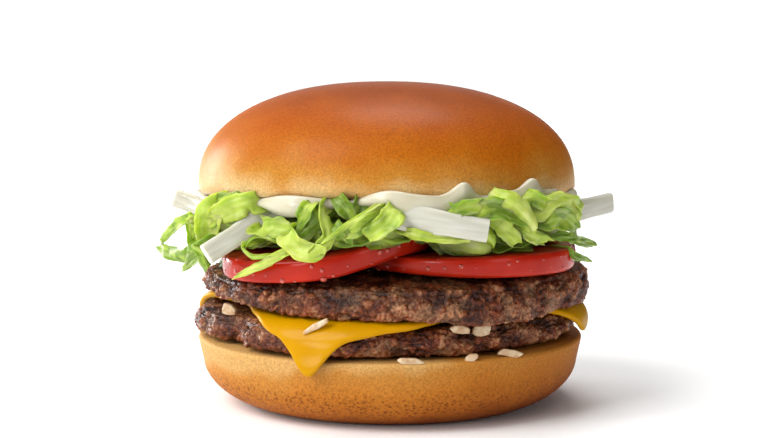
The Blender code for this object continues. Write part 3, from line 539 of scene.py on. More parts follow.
def upper_patty_bottom(x, y):
    """The underside: flat over the cheese, drooping past it, most where no cheese hangs."""
    azimuth, radius = math.degrees(math.atan2(y, x)), math.hypot(x, y)
    over_rim = min(1.0, max(0.0, (radius - UPPER_PATTY_DROOP_START) / UPPER_PATTY_DROOP_RUN)) ** 2
    bare = math.exp(-((azimuth - BARE_FRONT) / BARE_FRONT_SPAN) ** 4)
    off_cheese = bare * smooth_step((radius - BARE_DROOP_START) / BARE_DROOP_RUN)
    droop = UPPER_PATTY_DROOP * over_rim * (1 - 0.4 * bare) + BARE_DROOP * off_cheese
    return UPPER_PATTY_LOW + UPPER_PATTY_LEFT_LIFT * left_share(x) - droop


patty_above = link("patty_above", patty_mesh("patty_above", UPPER_PATTY, upper_patty_bottom, upper_patty_top),
                   seared_beef)
dress(patty_above, ["patty_upper"])


# The tomato. Two slices about 6 mm thick, cut across the fruit: taut glossy skin round a paler wet cut
# face. The left slice lies on the patty, climbs over the right one and rests on it.

TOMATO_THICKNESS = 5.8 * MM
TOMATO_SKIN_BULGE = 0.6 * MM
TOMATO_LOBES = 0.010
TOMATO_AROUND = 200
TOMATO_LEFT_CENTRE = (-15.5 * MM, -18.3 * MM)
TOMATO_LEFT_RADIUS = 27.0 * MM
TOMATO_LEFT_LOW_POINT = (-19.7 * MM, -45.3 * MM, 37.4 * MM)
TOMATO_LEFT_RISE = 0.22
TOMATO_LEFT_LEAN = 0.16
TOMATO_LEFT_BEND = 0.6 * MM
TOMATO_RIGHT_CENTRE = (19.7 * MM, -14.5 * MM)
TOMATO_RIGHT_RADIUS = 27.5 * MM
TOMATO_RIGHT_LOW = 38.3 * MM
TOMATO_RIGHT_FALL = 0.02
TOMATO_RIGHT_WEDGE = 0.06
TOMATO_RIGHT_WEDGE_START = 30 * MM


def soft_max(first, second, width):
    return max(first, second) + width * math.log1p(math.exp(-abs(first - second) / width))


def tomato_right_bottom(x, y):
    return TOMATO_RIGHT_LOW - TOMATO_RIGHT_FALL * (x - TOMATO_RIGHT_CENTRE[0])


def tomato_right_thickness(x):
    return TOMATO_THICKNESS - TOMATO_RIGHT_WEDGE * max(0.0, TOMATO_RIGHT_WEDGE_START - x)


def tomato_left_thickness(x):
    return TOMATO_THICKNESS


def tomato_left_bottom(x, y):
    low_x, low_y, low_z = TOMATO_LEFT_LOW_POINT
    climb = low_z + TOMATO_LEFT_RISE * (x - low_x) + TOMATO_LEFT_LEAN * (y - low_y)
    on_patty = upper_patty_top(x, y) + GAP
    on_slice = tomato_right_bottom(x, y) + tomato_right_thickness(x) + 2 * GAP
    under = soft_max(climb, on_patty, TOMATO_LEFT_BEND)
    return -soft_max(-under, -on_slice, TOMATO_LEFT_BEND)


def tomato_mesh(name, centre, radius, bottom, thickness):
    """Rings from under the slice, round its skin, to its top; depth keeps 1 on skin and 0 on cut flesh."""
    rows = [(radius * share, 0.0, 0.0) for share in (0.2, 0.4, 0.6, 0.8, 0.93)]
    for k in range(15):
        t = k / 14
        edge = 1 - (2 * t - 1) ** 8
        rows.append((radius - 0.3 * MM + (TOMATO_SKIN_BULGE + 0.3 * MM) * edge * (0.8 + 0.2 * math.sin(math.pi * t)),
                     t, 1.0 if 0 < k < 14 else 0.4))
    rows += [(radius * share, 1.0, 0.0) for share in (0.985, 0.97, 0.93, 0.87, 0.8, 0.7, 0.6, 0.5, 0.4, 0.3, 0.2)]
    rings, skins = [], []
    for reach, share, skin_share in rows:
        ring = []
        for n in range(TOMATO_AROUND):
            azimuth = 360 * n / TOMATO_AROUND
            lobed = reach * (1 + TOMATO_LOBES * math.cos(math.radians(5 * azimuth + 90)))
            flat = polar(azimuth, lobed, 0)
            x, y = flat.x + centre[0], flat.y + centre[1]
            level = bottom(x, y) + thickness(x) * share
            if skin_share == 0.0 and share == 1.0:
                level -= 0.25 * MM * (0.5 + noise.noise(Vector((x, y, 0)) / (4 * MM)))
            ring.append(Vector((x, y, level)))
        rings.append(ring)
        skins.append([skin_share] * TOMATO_AROUND)
    return ring_mesh(name, rings, skins)


# Ripe tomato: deep red skin like thin varnish, and wet, slightly see-through flesh where it is cut.
ripe_tomato, tree, shader = new_material("Tomato, ripe and wet", Subsurface_Weight=0.15, Coat_Weight=0.08,
                                         Subsurface_Radius=(0.005, 0.001, 0.0006), Subsurface_Scale=0.5,
                                         Coat_Roughness=0.08, Specular_IOR_Level=0.18)
where = add(tree, "ShaderNodeTexCoord").outputs["Object"]
skin_share = add(tree, "ShaderNodeAttribute", attribute_name="depth").outputs["Fac"]
cloud = add(tree, "ShaderNodeTexNoise", {"Vector": where, "Scale": 1 / (9 * MM), "Detail": 3.0})
skin_red = add(tree, "ShaderNodeValToRGB", {0: cloud.outputs[0]}, stops=((0.3, "#ac1c0b"), (0.7, "#bf2912")))
wall = add(tree, "ShaderNodeTexNoise", {"Vector": where, "Scale": 1 / (5 * MM), "Detail": 4.0})
flesh_red = add(tree, "ShaderNodeValToRGB", {0: wall.outputs[0]}, stops=((0.3, "#a8200f"), (0.7, "#c24028")))
red = add(tree, "ShaderNodeMix", {0: skin_share, 6: flesh_red.outputs[0], 7: skin_red.outputs[0]},
          data_type="RGBA")
tree.links.new(red.outputs[2], shader.inputs["Base Color"])
gloss = add(tree, "ShaderNodeMapRange", {"Value": skin_share, "To Min": 0.42, "To Max": 0.22})
tree.links.new(gloss.outputs[0], shader.inputs["Roughness"])
pulp = add(tree, "ShaderNodeTexNoise", {"Vector": where, "Scale": 1 / (1.2 * MM), "Detail": 2.0})
relief = add(tree, "ShaderNodeBump", {"Height": pulp.outputs[0], "Strength": 0.12, "Distance": 0.2 * MM})
tree.links.new(relief.outputs[0], shader.inputs["Normal"])

tomato_slice_left = link("tomato_slice_left", tomato_mesh(
    "tomato_slice_left", TOMATO_LEFT_CENTRE, TOMATO_LEFT_RADIUS, tomato_left_bottom, tomato_left_thickness),
    ripe_tomato)
dress(tomato_slice_left, ["tomato_left"])
tomato_slice_right = link("tomato_slice_right", tomato_mesh(
    "tomato_slice_right", TOMATO_RIGHT_CENTRE, TOMATO_RIGHT_RADIUS, tomato_right_bottom, tomato_right_thickness),
    ripe_tomato)
dress(tomato_slice_right, ["tomato_right"])


# The lettuce. Iceberg cut into shreds 2 to 7 mm wide, about half a millimetre thick: pale, stiff ribs
# and green frilled edges, heaped loosely on the tomato with the ends hanging out all round.

LETTUCE_CORE_RADIUS = 40.5 * MM
LETTUCE_CORE_LOW = 38.4 * MM
SHRED_THICKNESS = 0.55 * MM
SHRED_ROOT_RADIUS = 37.0 * MM
SHRED_WAVE = 0.8 * MM
FRILL_SHARE = 0.10
FRILL_PITCH = 6.5 * MM
END_SKEW = 2.4 * MM
# Steps along and across: the shreds that show in front are finer than those that fill the heap.
FINE_STEPS = (40, 12)
PLAIN_STEPS = (22, 6)
PHOTO_SIZE = (780, 438)
CAMERA_PLACE = Vector((0.0, -560 * MM, 111.57 * MM))
CAMERA_PITCH = math.radians(6.45)
CAMERA_LENS = 97.46
CAMERA_SENSOR = 36.0
LENS_PIXELS = CAMERA_LENS / CAMERA_SENSOR * PHOTO_SIZE[0]
# Each front shred by three points of it: pixels across and down in the photograph, and millimetres from the
# burger's axis. Then its width in pixels, its tilt from facing the camera, its twist and its cup.
SHREDS_SEEN = (
    ((200, 217, 55.5), (184, 221, 58.5), (161, 241, 60.3), 10, 25, 10, 0.18),
    ((198, 252, 55.0), (180, 257, 58.5), (160, 245, 60.5), 13, -20, 20, 0.15),
    ((197, 219, 56.5), (191, 234, 57.5), (195, 253, 56.5), 8, 0, 30, 0.20),
    ((216, 207, 54.0), (209, 224, 55.5), (207, 243, 55.0), 25, 10, 20, 0.26),
    ((255, 202, 50.5), (231, 208, 53.5), (207, 219, 55.5), 22, -15, 20, 0.16),
    ((246, 196, 49.5), (224, 200, 52.0), (203, 205, 54.5), 13, 20, 20, -0.20),
    ((214, 243, 55.5), (198, 252, 57.0), (183, 266, 58.0), 15, 10, 60, 0.22),
    ((199, 244, 56.5), (204, 256, 57.0), (208, 269, 56.5), 14, -15, 50, -0.25),
    ((259, 227, 52.5), (276, 228, 54.0), (291, 233, 53.0), 20, -10, 10, 0.34),
    ((279, 241, 53.5), (256, 236, 55.0), (245, 248, 55.0), 4.5, 0, 20, 0.10),
    ((244, 244, 54.0), (254, 257, 55.8), (279, 254, 55.0), 4.5, 0, 20, 0.10),
    ((294, 249, 53.5), (266, 262, 55.8), (235, 277, 54.5), 9, 10, 20, 0.12),
    ((314, 202, 51.0), (305, 213, 54.0), (296, 229, 54.0), 14, 25, 20, 0.22),
    ((324, 208, 51.5), (329, 236, 54.0), (311, 254, 55.5), 14, -25, 40, 0.24),
    ((289, 232, 54.0), (300, 249, 56.5), (325, 253, 56.2), 19, 15, 20, 0.26),
    ((322, 212, 50.5), (308, 228, 52.5), (292, 238, 53.5), 18, 0, 20, -0.20),
    ((334, 224, 51.5), (341, 233, 53.5), (347, 243, 53.0), 14, 0, 20, 0.20),
    ((379, 205, 53.0), (350, 223, 55.3), (322, 244, 56.3), 5.5, 0, 20, 0.05),
    ((338, 197, 49.0), (345, 207, 50.8), (352, 221, 50.8), 15, 15, 20, 0.25),
    ((362, 198, 47.5), (358, 208, 49.5), (350, 216, 50.0), 14, -15, 20, 0.20),
    ((386, 210, 51.5), (366, 223, 53.5), (347, 239, 53.5), 15, -10, 30, 0.22),
    ((397, 208, 53.0), (387, 223, 54.8), (367, 238, 54.5), 22, 5, 25, 0.20),
    ((404, 231, 52.0), (434, 239, 54.2), (470, 240, 53.6), 8, -15, 40, 0.15),
    ((450, 211, 52.5), (468, 206, 54.6), (494, 205, 54.6), 15, 20, 30, 0.22),
    ((468, 215, 53.0), (494, 209, 55.0), (522, 219, 54.4), 20, -15, 40, 0.20),
    ((500, 197, 53.0), (521, 210, 55.4), (533, 229, 54.4), 17, 10, 40, -0.22),
    ((496, 221, 52.0), (507, 232, 54.0), (517, 244, 53.5), 17, 0, 30, 0.22),
    ((517, 224, 52.0), (531, 235, 54.4), (547, 242, 54.0), 14, -10, 30, 0.22),
    ((526, 196, 52.0), (544, 202, 54.0), (560, 210, 54.0), 15, 20, 30, 0.20),
    ((538, 212, 52.0), (561, 203, 55.0), (581, 208, 55.0), 19, 10, 30, -0.24),
    ((541, 221, 52.0), (562, 219, 55.0), (578, 234, 55.0), 19, -15, 40, 0.24),
    ((556, 197, 52.5), (570, 204, 55.0), (580, 222, 54.8), 12, 20, 40, 0.20),
    ((556, 235, 52.0), (576, 240, 54.5), (596, 245, 55.4), 9, 0, 40, 0.10),
    ((563, 250, 50.5), (577, 257, 53.5), (591, 262, 54.4), 6.5, 20, 30, 0.10),
    ((403, 229, 50.0), (420, 235, 51.0), (436, 239, 51.0), 10, 10, 20, 0.20),
    ((476, 226, 50.0), (486, 234, 51.5), (494, 244, 51.0), 13, 10, 20, -0.20),
)
REAR_SHREDS = 12
REAR_SPAN = (16, 172)
REAR_SEED = 23
FILLER_SHREDS = 96
FILLER_SEED = 41
CROWN_LOW = 55.0 * MM
CROWN_TILT = math.radians(4.3)
MAYO_FILM = 1.4 * MM


def crown_underside(y):
    return CROWN_LOW - math.tan(CROWN_TILT) * y


def resting_height(x, y):
    """The top of whatever lies under this spot: tomato, or the patty."""
    height = upper_patty_top(x, y) if math.hypot(x, y) < 50 * MM else 0.0
    for centre, radius, bottom, thickness in (
            (TOMATO_LEFT_CENTRE, TOMATO_LEFT_RADIUS, tomato_left_bottom, tomato_left_thickness),
            (TOMATO_RIGHT_CENTRE, TOMATO_RIGHT_RADIUS, tomato_right_bottom, tomato_right_thickness)):
        if math.hypot(x - centre[0], y - centre[1]) < radius + TOMATO_SKIN_BULGE:
            height = max(height, bottom(x, y) + thickness(x))
    return height


def seen_at(across, down, radius):
    """The azimuth, radius and height of the nearest point this far from the axis behind a pixel."""
    right, up = (across - PHOTO_SIZE[0] / 2) / LENS_PIXELS, (PHOTO_SIZE[1] / 2 - down) / LENS_PIXELS
    ray = Vector((right, math.cos(CAMERA_PITCH) + up * math.sin(CAMERA_PITCH),
                  up * math.cos(CAMERA_PITCH) - math.sin(CAMERA_PITCH)))
    square = ray.x ** 2 + ray.y ** 2
    half = CAMERA_PLACE.x * ray.x + CAMERA_PLACE.y * ray.y
    gap = CAMERA_PLACE.x ** 2 + CAMERA_PLACE.y ** 2 - radius ** 2
    inside = half ** 2 - square * gap
    if inside < 0:
        return seen_at(across, down, radius + 0.5 * MM)
    spot = CAMERA_PLACE + ray * ((-half - math.sqrt(inside)) / square)
    return math.degrees(math.atan2(spot.y, spot.x)), math.hypot(spot.x, spot.y), spot.z


def front_shreds():
    """The shreds that show in front, each placed so that it looks as it does from the camera."""
    found = []
    for *seen, pixels, tilt, twist, cup in SHREDS_SEEN:
        places = [seen_at(across, down, reach * MM) for across, down, reach in seen]
        start, middle, end = (polar(*place) for place in places)
        along = (end - start).normalized()
        outward = Vector((middle.x, middle.y, 0)).normalized() + Vector((0, 0, 0.35))
        face = along.cross(outward).normalized().cross(along)
        to_camera = CAMERA_PLACE - middle
        facing = math.degrees(math.atan2(along.cross(face).dot(to_camera), face.dot(to_camera)))
        found.append((*places, pixels * to_camera.length / LENS_PIXELS, facing + tilt, twist, cup))
    return found


def rear_shreds():
    """Shreds round the sides and the back, spread evenly with a seeded draw in their places and turns."""
    draw = random.Random(REAR_SEED)
    found = []
    for k in range(REAR_SHREDS):
        azimuth = REAR_SPAN[0] + (REAR_SPAN[1] - REAR_SPAN[0]) * k / (REAR_SHREDS - 1)
        level = (0.0495, 0.0450, 0.0475)[k % 3]
        turn = draw.choice((-1, 1)) * draw.uniform(3, 11)
        start = (azimuth, 0.0450, level)
        middle = (azimuth + turn, draw.uniform(0.0485, 0.0515), level + draw.uniform(-0.001, 0.001))
        end = (azimuth + 2.2 * turn, draw.uniform(0.0490, 0.0530), level - draw.uniform(0.0015, 0.0065))
        found.append((start, middle, end, draw.uniform(0.0060, 0.0095), draw.uniform(-30, 40),
                      draw.uniform(-35, 35), draw.choice((-0.2, 0.2, 0.28))))
    return found


def filler_shreds():
    """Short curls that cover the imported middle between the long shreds."""
    draw = random.Random(FILLER_SEED)
    found = []
    for k in range(FILLER_SHREDS):
        azimuth = 360 * k / FILLER_SHREDS + draw.uniform(-3, 3)
        high = crown_underside(math.sin(math.radians(azimuth)) * 45 * MM) - 3.5 * MM
        under = polar(azimuth, 0.038, 0)
        low = resting_height(under.x, under.y) + 2.6 * MM
        level = low + (high - low) * draw.uniform(0.05, 1.0)
        turn = draw.choice((-1, 1)) * draw.uniform(5, 12)
        start = (azimuth - turn, draw.uniform(0.038, 0.041), level)
        middle = (azimuth, draw.uniform(0.0425, 0.0475), level + draw.uniform(-0.002, 0.002))
        end = (azimuth + turn, draw.uniform(0.041, 0.045), max(low, level - draw.uniform(-0.001, 0.004)))
        found.append((start, middle, end, draw.uniform(0.0045, 0.0092), draw.uniform(-45, 45),
                      draw.uniform(-45, 45), draw.choice((-0.22, 0.18, 0.26))))
    return found


def shred_place(row, t):
    """Where a shred is at this share of its length, with the direction of its width and of its face."""
    start, middle, end, width, roll, twist = row[:6]
    root = (start[0], SHRED_ROOT_RADIUS, start[2] - 0.5 * MM)
    places = [polar(*spot) for spot in (root, start, middle, end)]
    place = on_curve(places, t)
    along = (on_curve(places, min(1.0, t + 0.02)) - on_curve(places, max(0.0, t - 0.02))).normalized()
    outward = Vector((place.x, place.y, 0)).normalized() + Vector((0, 0, 0.35))
    side = along.cross(outward).normalized()
    side = Matrix.Rotation(math.radians(roll + twist * (t - 0.65)), 3, along) @ side
    return place, along, side, side.cross(along)


def leaf_lift(row, s, t, length, phase, frill):
    """How far a shred's middle surface is lifted off flat: its cup across, its frills and its crinkles."""
    start, width, cup = row[0], row[3], row[6]
    edge = abs(s) ** 1.6
    turn = 2 * math.pi * t * length / FRILL_PITCH
    curl = math.sin(turn + phase + 2.2 * s) + 0.45 * math.sin(2.3 * turn - 3 * s + 1.7 * phase)
    return cup * width * (s * s - 0.5) + SHRED_WAVE * s * math.sin(8 * t + start[0] + s) + (
        FRILL_SHARE * width * frill * edge * curl)


def add_shred(row, steps, draw, points, faces, corners, tones):
    """Adds a closed strip with frilled, ragged edges and slanting cut ends, and a rib along its middle."""
    start, middle, end, width = row[:4]
    long, across = steps
    tone, phase, frill, skew = draw.random(), draw.uniform(0, 6.28), draw.uniform(0.5, 1.3), draw.uniform(-1, 1)
    length = (polar(*middle) - polar(*start)).length + (polar(*end) - polar(*middle)).length + 6 * MM
    base, columns = len(points), across + 1
    for k in range(long + 1):
        t = k / long
        place, along, side, face = shred_place(row, t)
        tip = smooth_step((t - 0.72) / 0.28)
        for layer in (0.5, -0.5):
            for n in range(columns):
                s = 2 * n / across - 1
                ragged = 1 + 0.24 * noise.noise(Vector((t * length / (2.2 * MM), phase + (s > 0) * 9, 0)))
                half = width / 2 * (0.90 + 0.22 * math.sin(math.pi * t) - 0.30 * tip ** 3) * ragged
                fold = noise.noise(place / (2.6 * MM) + Vector((1.4 * s, 0, phase)))
                crinkle = 0.55 * MM * fold + 0.25 * MM * noise.noise(place / (1.2 * MM) + Vector((2.4 * s, phase, 0)))
                thick = SHRED_THICKNESS * (1 - 0.7 * s * s) + 0.22 * MM * math.exp(-((s - 0.1) / 0.16) ** 2)
                lift = leaf_lift(row, s, t, length, phase, frill) + crinkle + layer * thick
                slant = along * END_SKEW * skew * s * tip * min(1.0, width / (5 * MM))
                spot = place + side * half * s + face * lift + slant
                resting = resting_height(spot.x, spot.y) + 0.2 * MM + layer * 0.2 * MM
                if resting - 6 * MM < spot.z < resting:
                    spot.z = resting
                points.append(spot)
                corners.append((s * half / MM, t * length / MM, abs(s)))
                tones.append(tone)
    stride = 2 * columns
    for k in range(long):
        low, high = base + k * stride, base + (k + 1) * stride
        for n in range(across):
            faces.append((low + n, low + n + 1, high + n + 1, high + n))
            faces.append((low + columns + n + 1, low + columns + n, high + columns + n, high + columns + n + 1))
        faces.append((low + columns, low, high, high + columns))
        faces.append((low + columns - 1, low + stride - 1, high + stride - 1, high + columns - 1))
    for k in (0, long):
        low = base + k * stride
        for n in range(across):
            cap = (low + n + 1, low + n, low + columns + n, low + columns + n + 1)
            faces.append(cap[::-1] if k else cap)


def shred_heap(name, fine_rows, plain_rows):
    """All shreds as one mesh, with a UV map of width and length in centimetres."""
    points, faces, corners, tones = [], [], [], []
    draw = random.Random(FILLER_SEED + 1)
    for rows, steps in ((fine_rows, FINE_STEPS), (plain_rows, PLAIN_STEPS)):
        for row in rows:
            add_shred(row, steps, draw, points, faces, corners, tones)
    mesh = bpy.data.meshes.new(name)
    mesh.from_pydata(points, [], faces)
    tone_kept = mesh.attributes.new("tone", "FLOAT", "POINT")
    tone_kept.data.foreach_set("value", tones)
    edge_kept = mesh.attributes.new("edge", "FLOAT", "POINT")
    edge_kept.data.foreach_set("value", [corner[2] for corner in corners])
    laid = mesh.uv_layers.new(name="leaf")
    order = [0] * len(mesh.loops)
    mesh.loops.foreach_get("vertex_index", order)
    laid.data.foreach_set("uv", [value * 0.1 for at in order for value in corners[at][:2]])
    bm = bmesh.new()
    bm.from_mesh(mesh)
    bmesh.ops.recalc_face_normals(bm, faces=bm.faces)
    bm.to_mesh(mesh)
    bm.free()
    return mesh


# Iceberg leaf: thin, crisp and half see-through, so light glows in it; pale cream-green at the rib, fresh green
# towards the frill, with fine veins along its length. Towards the middle of the heap its colour is darkened by painted
# shade.
iceberg, tree, shader = new_material("Iceberg leaf, fresh", Roughness=0.45, Subsurface_Weight=0.55,
                                     Subsurface_Radius=(0.0026, 0.0036, 0.0008), Subsurface_Scale=0.4,
                                     Specular_IOR_Level=0.35, Coat_Weight=0.06, Coat_Roughness=0.25)
where = add(tree, "ShaderNodeTexCoord").outputs["Object"]
leaf_uv = add(tree, "ShaderNodeUVMap", uv_map="leaf").outputs[0]
tone = add(tree, "ShaderNodeAttribute", attribute_name="tone").outputs["Fac"]
edge = add(tree, "ShaderNodeAttribute", attribute_name="edge").outputs["Fac"]
patch = add(tree, "ShaderNodeTexNoise", {"Vector": where, "Scale": 1 / (5 * MM), "Detail": 2.0})
toned = add(tree, "ShaderNodeMath", {0: tone, 1: 0.52, 2: patch.outputs[0]}, operation="MULTIPLY_ADD")
greener = add(tree, "ShaderNodeMath", {0: edge, 1: 0.22, 2: toned.outputs[0]}, operation="MULTIPLY_ADD")
green = add(tree, "ShaderNodeValToRGB", {0: greener.outputs[0]}, stops=(
    (0.34, "#d5de90"), (0.56, "#bccb5a"), (0.82, "#a2b93a"), (1.0, "#86a026"), (1.0, "#6c8a18")))
stretched = add(tree, "ShaderNodeMapping", {"Vector": leaf_uv, "Scale": (13.0, 1.3, 1.0)})
veins = add(tree, "ShaderNodeTexNoise", {"Vector": stretched.outputs[0], "Scale": 1.0, "Detail": 2.0})
vein_light = add(tree, "ShaderNodeMapRange", {"Value": veins.outputs[0], "From Min": 0.45, "From Max": 0.75,
                                              "To Min": 0.0, "To Max": 0.32})
veined = add(tree, "ShaderNodeMix", {0: vein_light.outputs[0], 6: green.outputs[0], 7: linear("#e2e4ae")},
             data_type="RGBA")
# Painted shade: the colour darkens to less than half towards the burger's axis, where the heap shades itself.
spread = add(tree, "ShaderNodeVectorMath", {0: where, 1: (1.0, 1.0, 0.0)}, operation="MULTIPLY")
from_axis = add(tree, "ShaderNodeVectorMath", {0: spread.outputs[0]}, operation="LENGTH")
painted_inner_shade = add(tree, "ShaderNodeMapRange", {"Value": from_axis.outputs["Value"], "From Min": 43 * MM,
                                          "From Max": 52 * MM, "To Min": 0.42, "To Max": 1.0})
shaded_leaf = add(tree, "ShaderNodeMix", {0: 1.0, 6: veined.outputs[2], 7: painted_inner_shade.outputs[0]}, data_type="RGBA",
                  blend_type="MULTIPLY")
tree.links.new(shaded_leaf.outputs[2], shader.inputs["Base Color"])
blister = add(tree, "ShaderNodeTexNoise", {"Vector": where, "Scale": 1 / (1.5 * MM), "Detail": 2.0})
rough_leaf = add(tree, "ShaderNodeMath", {0: veins.outputs[0], 1: 0.7, 2: blister.outputs[0]},
                 operation="MULTIPLY_ADD")
relief = add(tree, "ShaderNodeBump", {"Height": rough_leaf.outputs[0], "Strength": 0.7, "Distance": 0.30 * MM})
tree.links.new(relief.outputs[0], shader.inputs["Normal"])

lettuce_shreds = link("lettuce_shreds", shred_heap("lettuce_shreds", front_shreds(),
                                                   [*rear_shreds(), *filler_shreds()]), iceberg)
dress(lettuce_shreds, ["lettuce"])

CORE_ROWS = ((0.5, 0.0), (0.76, 0.0), (0.83, 0.12), (0.90, 0.25), (0.96, 0.38), (1.0, 0.5), (1.0, 0.62),
             (1.0, 0.8), (0.97, 0.92), (0.92, 1.0), (0.5, 1.0))
core_rings = []
for reach, share in CORE_ROWS:
    ring = []
    for n in range(160):
        azimuth = 360 * n / 160
        wave = 1 + 0.05 * noise.noise(polar(azimuth, 6.0, 5 * share))
        flat = polar(azimuth, (LETTUCE_CORE_RADIUS - 1.5 * MM) * reach * wave, 0)
        low = max(LETTUCE_CORE_LOW, resting_height(flat.x, flat.y) + 0.2 * MM)
        top = crown_underside(flat.y) - MAYO_FILM - 5 * GAP
        ring.append(flat + Vector((0, 0, low + (top - low) * share)))
    core_rings.append(ring)
# The middle gets a dark green copy of the leaf: a sheet of painted shade between the shreds.
shadowed_leaf = iceberg.copy()
shadowed_leaf.name = "Iceberg leaf, painted shade of the middle"
core_shader = shadowed_leaf.node_tree.nodes["Principled BSDF"]
deep = add(shadowed_leaf.node_tree, "ShaderNodeTexNoise", {"Scale": 1 / (4 * MM), "Detail": 2.0,
           "Vector": add(shadowed_leaf.node_tree, "ShaderNodeTexCoord").outputs["Object"]})
painted_shade_green = add(shadowed_leaf.node_tree, "ShaderNodeValToRGB", {0: deep.outputs[0]}, stops=(
    (0.35, "#506c12"), (0.65, "#8fa534")))
shadowed_leaf.node_tree.links.new(painted_shade_green.outputs[0], core_shader.inputs["Base Color"])
lettuce_middle = link("lettuce_middle", ring_mesh("lettuce_middle", core_rings), shadowed_leaf)
dress(lettuce_middle, [])


# The onion slivers. Raw white onion cut into strips 5 mm tall and 3 mm thick: firm, wet, half see-through,
# with fine lines along the layer and square, brighter cut ends.

ONION_THICKNESS = 3.0 * MM
ONION_SLIVERS = {
    "onion_left_rear": ((197, 0.0405, 0.0486), (184, 0.0568, 0.0543), 0.0056, 8),
    "onion_left_front": ((231, 0.0430, 0.0552), (223, 0.0622, 0.0442), 0.0062, 18),
    "onion_centre": ((-91, 0.0502, 0.0551), (-64.5, 0.0555, 0.0510), 0.0068, -6),
    "onion_right": ((-8, 0.0400, 0.0497), (8, 0.0602, 0.0518), 0.0062, 0),
}
SLIVER_STEPS = 40
SLIVER_OUTLINE = 48


def sliver_mesh(name):
    start, end, tall, roll = ONION_SLIVERS[name]
    first, last = polar(*start), polar(*end)
    length = (last - first).length
    along = (last - first).normalized()
    side = along.cross(Vector((0, 0, 1))).normalized()
    up = Matrix.Rotation(math.radians(roll), 3, along) @ side.cross(along)
    side = along.cross(up)
    rings = []
    shares = [0, 0, 0.004, 0.012] + [0.03 + 0.94 * k / SLIVER_STEPS for k in range(SLIVER_STEPS + 1)]
    shares += [0.988, 0.996, 1, 1]
    for k, share in enumerate(shares):
        bow = length * 0.06 * (1 - (2 * share - 1) ** 2)
        slim = 0.86 + 0.14 * math.sin(math.pi * min(1.0, share * 1.6))
        inset = {0: 0.90, 1: 0.95, 2: 0.985}.get(min(k, len(shares) - 1 - k), 1.0)
        middle = first.lerp(last, share) + side * bow
        ring = []
        for n in range(SLIVER_OUTLINE):
            t = 2 * math.pi * n / SLIVER_OUTLINE
            a = math.copysign(abs(math.cos(t)) ** 0.45, math.cos(t)) * inset
            b = math.copysign(abs(math.sin(t)) ** 0.45, math.sin(t)) * inset
            grain_push = 0.10 * MM * noise.noise(Vector((a * 5, b * 6, share * 6)))
            ring.append(middle + side * (a * (ONION_THICKNESS / 2 + grain_push)) + up * (b * tall / 2 * slim))
        rings.append(ring)
    mesh = ring_mesh(name, rings)
    laid = mesh.uv_layers.new(name="layer")
    for loop in mesh.loops:
        spot = mesh.vertices[loop.vertex_index].co - first
        laid.data[loop.index].uv = (spot.dot(along) / (10 * MM), spot.dot(up) / (10 * MM))
    return mesh


# Raw onion: watery white, light passes 2 to 3 mm into it, with grey-green shadows and fine lines.
raw_onion, tree, shader = new_material("Raw white onion, cut", Roughness=0.22, Subsurface_Weight=0.65,
                                       Subsurface_Radius=(0.0035, 0.0033, 0.0026), Subsurface_Scale=0.6,
                                       Coat_Weight=0.3, Coat_Roughness=0.1)
layer_uv = add(tree, "ShaderNodeUVMap", uv_map="layer").outputs[0]
drawn = add(tree, "ShaderNodeMapping", {"Vector": layer_uv, "Scale": (0.5, 5.0, 1.0)})
lines = add(tree, "ShaderNodeTexNoise", {"Vector": drawn.outputs[0], "Scale": 1.6, "Detail": 2.0})
white = add(tree, "ShaderNodeValToRGB", {0: lines.outputs[0]}, stops=((0.25, "#c1bfac"), (0.50, "#cbc9bb"),
                                                                      (0.75, "#d7d5ca")))
tree.links.new(white.outputs[0], shader.inputs["Base Color"])
relief = add(tree, "ShaderNodeBump", {"Height": lines.outputs[0], "Strength": 0.05, "Distance": 0.2 * MM})
tree.links.new(relief.outputs[0], shader.inputs["Normal"])
for name in ONION_SLIVERS:
    sliver = link(name.replace("onion", "sliver"), sliver_mesh(name), raw_onion)
    dress(sliver, [name])


# The chopped onion. Flakes 2 to 4 mm across, softened by the griddle, stuck on the heel, the lower patty
# and the cheese.

ONION_FLAKES = (
    (-84, 50.9, 18.8, 6.2, 1.8, 3), (-66.5, 50.7, 18.9, 4.6, 2.6, -20), (-53.5, 50.6, 19.1, 6.6, 2.2, 12),
    (-69.5, 48.6, 25.9, 5.2, 2.7, 12), (-61.5, 47.9, 25.7, 5.4, 4.0, -20),
    (-151.5, 47.4, 27.2, 4.4, 3.2, 12), (-110.5, 52.3, 27.2, 6.6, 2.0, -30))
FLAKE_THICKNESS = 1.3 * MM
FLAKE_ROUNDING = 0.35 * MM


def flake(spot, seed):
    """One chip: a flat plate with six to eight seeded corners and rounded edges, laid on the food's side."""
    azimuth, radius, height, length, tall, turn = spot
    draw = random.Random(seed + 60)
    count = draw.choice((6, 7, 8))
    bm = bmesh.new()
    corners = []
    for k in range(count):
        at = 2 * math.pi * (k + draw.uniform(-0.2, 0.2)) / count + 0.5
        reach = draw.uniform(0.38, 0.62)
        corners.append(bm.verts.new((length * MM * reach * math.cos(at), 0, tall * MM * reach * math.sin(at))))
    plate = bm.faces.new(corners)
    grown = bmesh.ops.extrude_face_region(bm, geom=[plate])
    raised = [part for part in grown["geom"] if isinstance(part, bmesh.types.BMVert)]
    bmesh.ops.translate(bm, verts=raised, vec=(0, FLAKE_THICKNESS, 0))
    bmesh.ops.bevel(bm, geom=bm.edges[:], offset=FLAKE_ROUNDING, segments=4, profile=0.5, affect="EDGES")
    bmesh.ops.triangulate(bm, faces=bm.faces[:])
    bmesh.ops.recalc_face_normals(bm, faces=bm.faces[:])
    lean = Matrix.Rotation(math.radians(turn), 4, "Y")
    face_out = Matrix.Rotation(math.radians(90 + (azimuth - 90) / 2), 4, "Z")
    bm.transform(Matrix.Translation(polar(azimuth, radius * MM, height * MM)) @ face_out @ lean)
    return bm


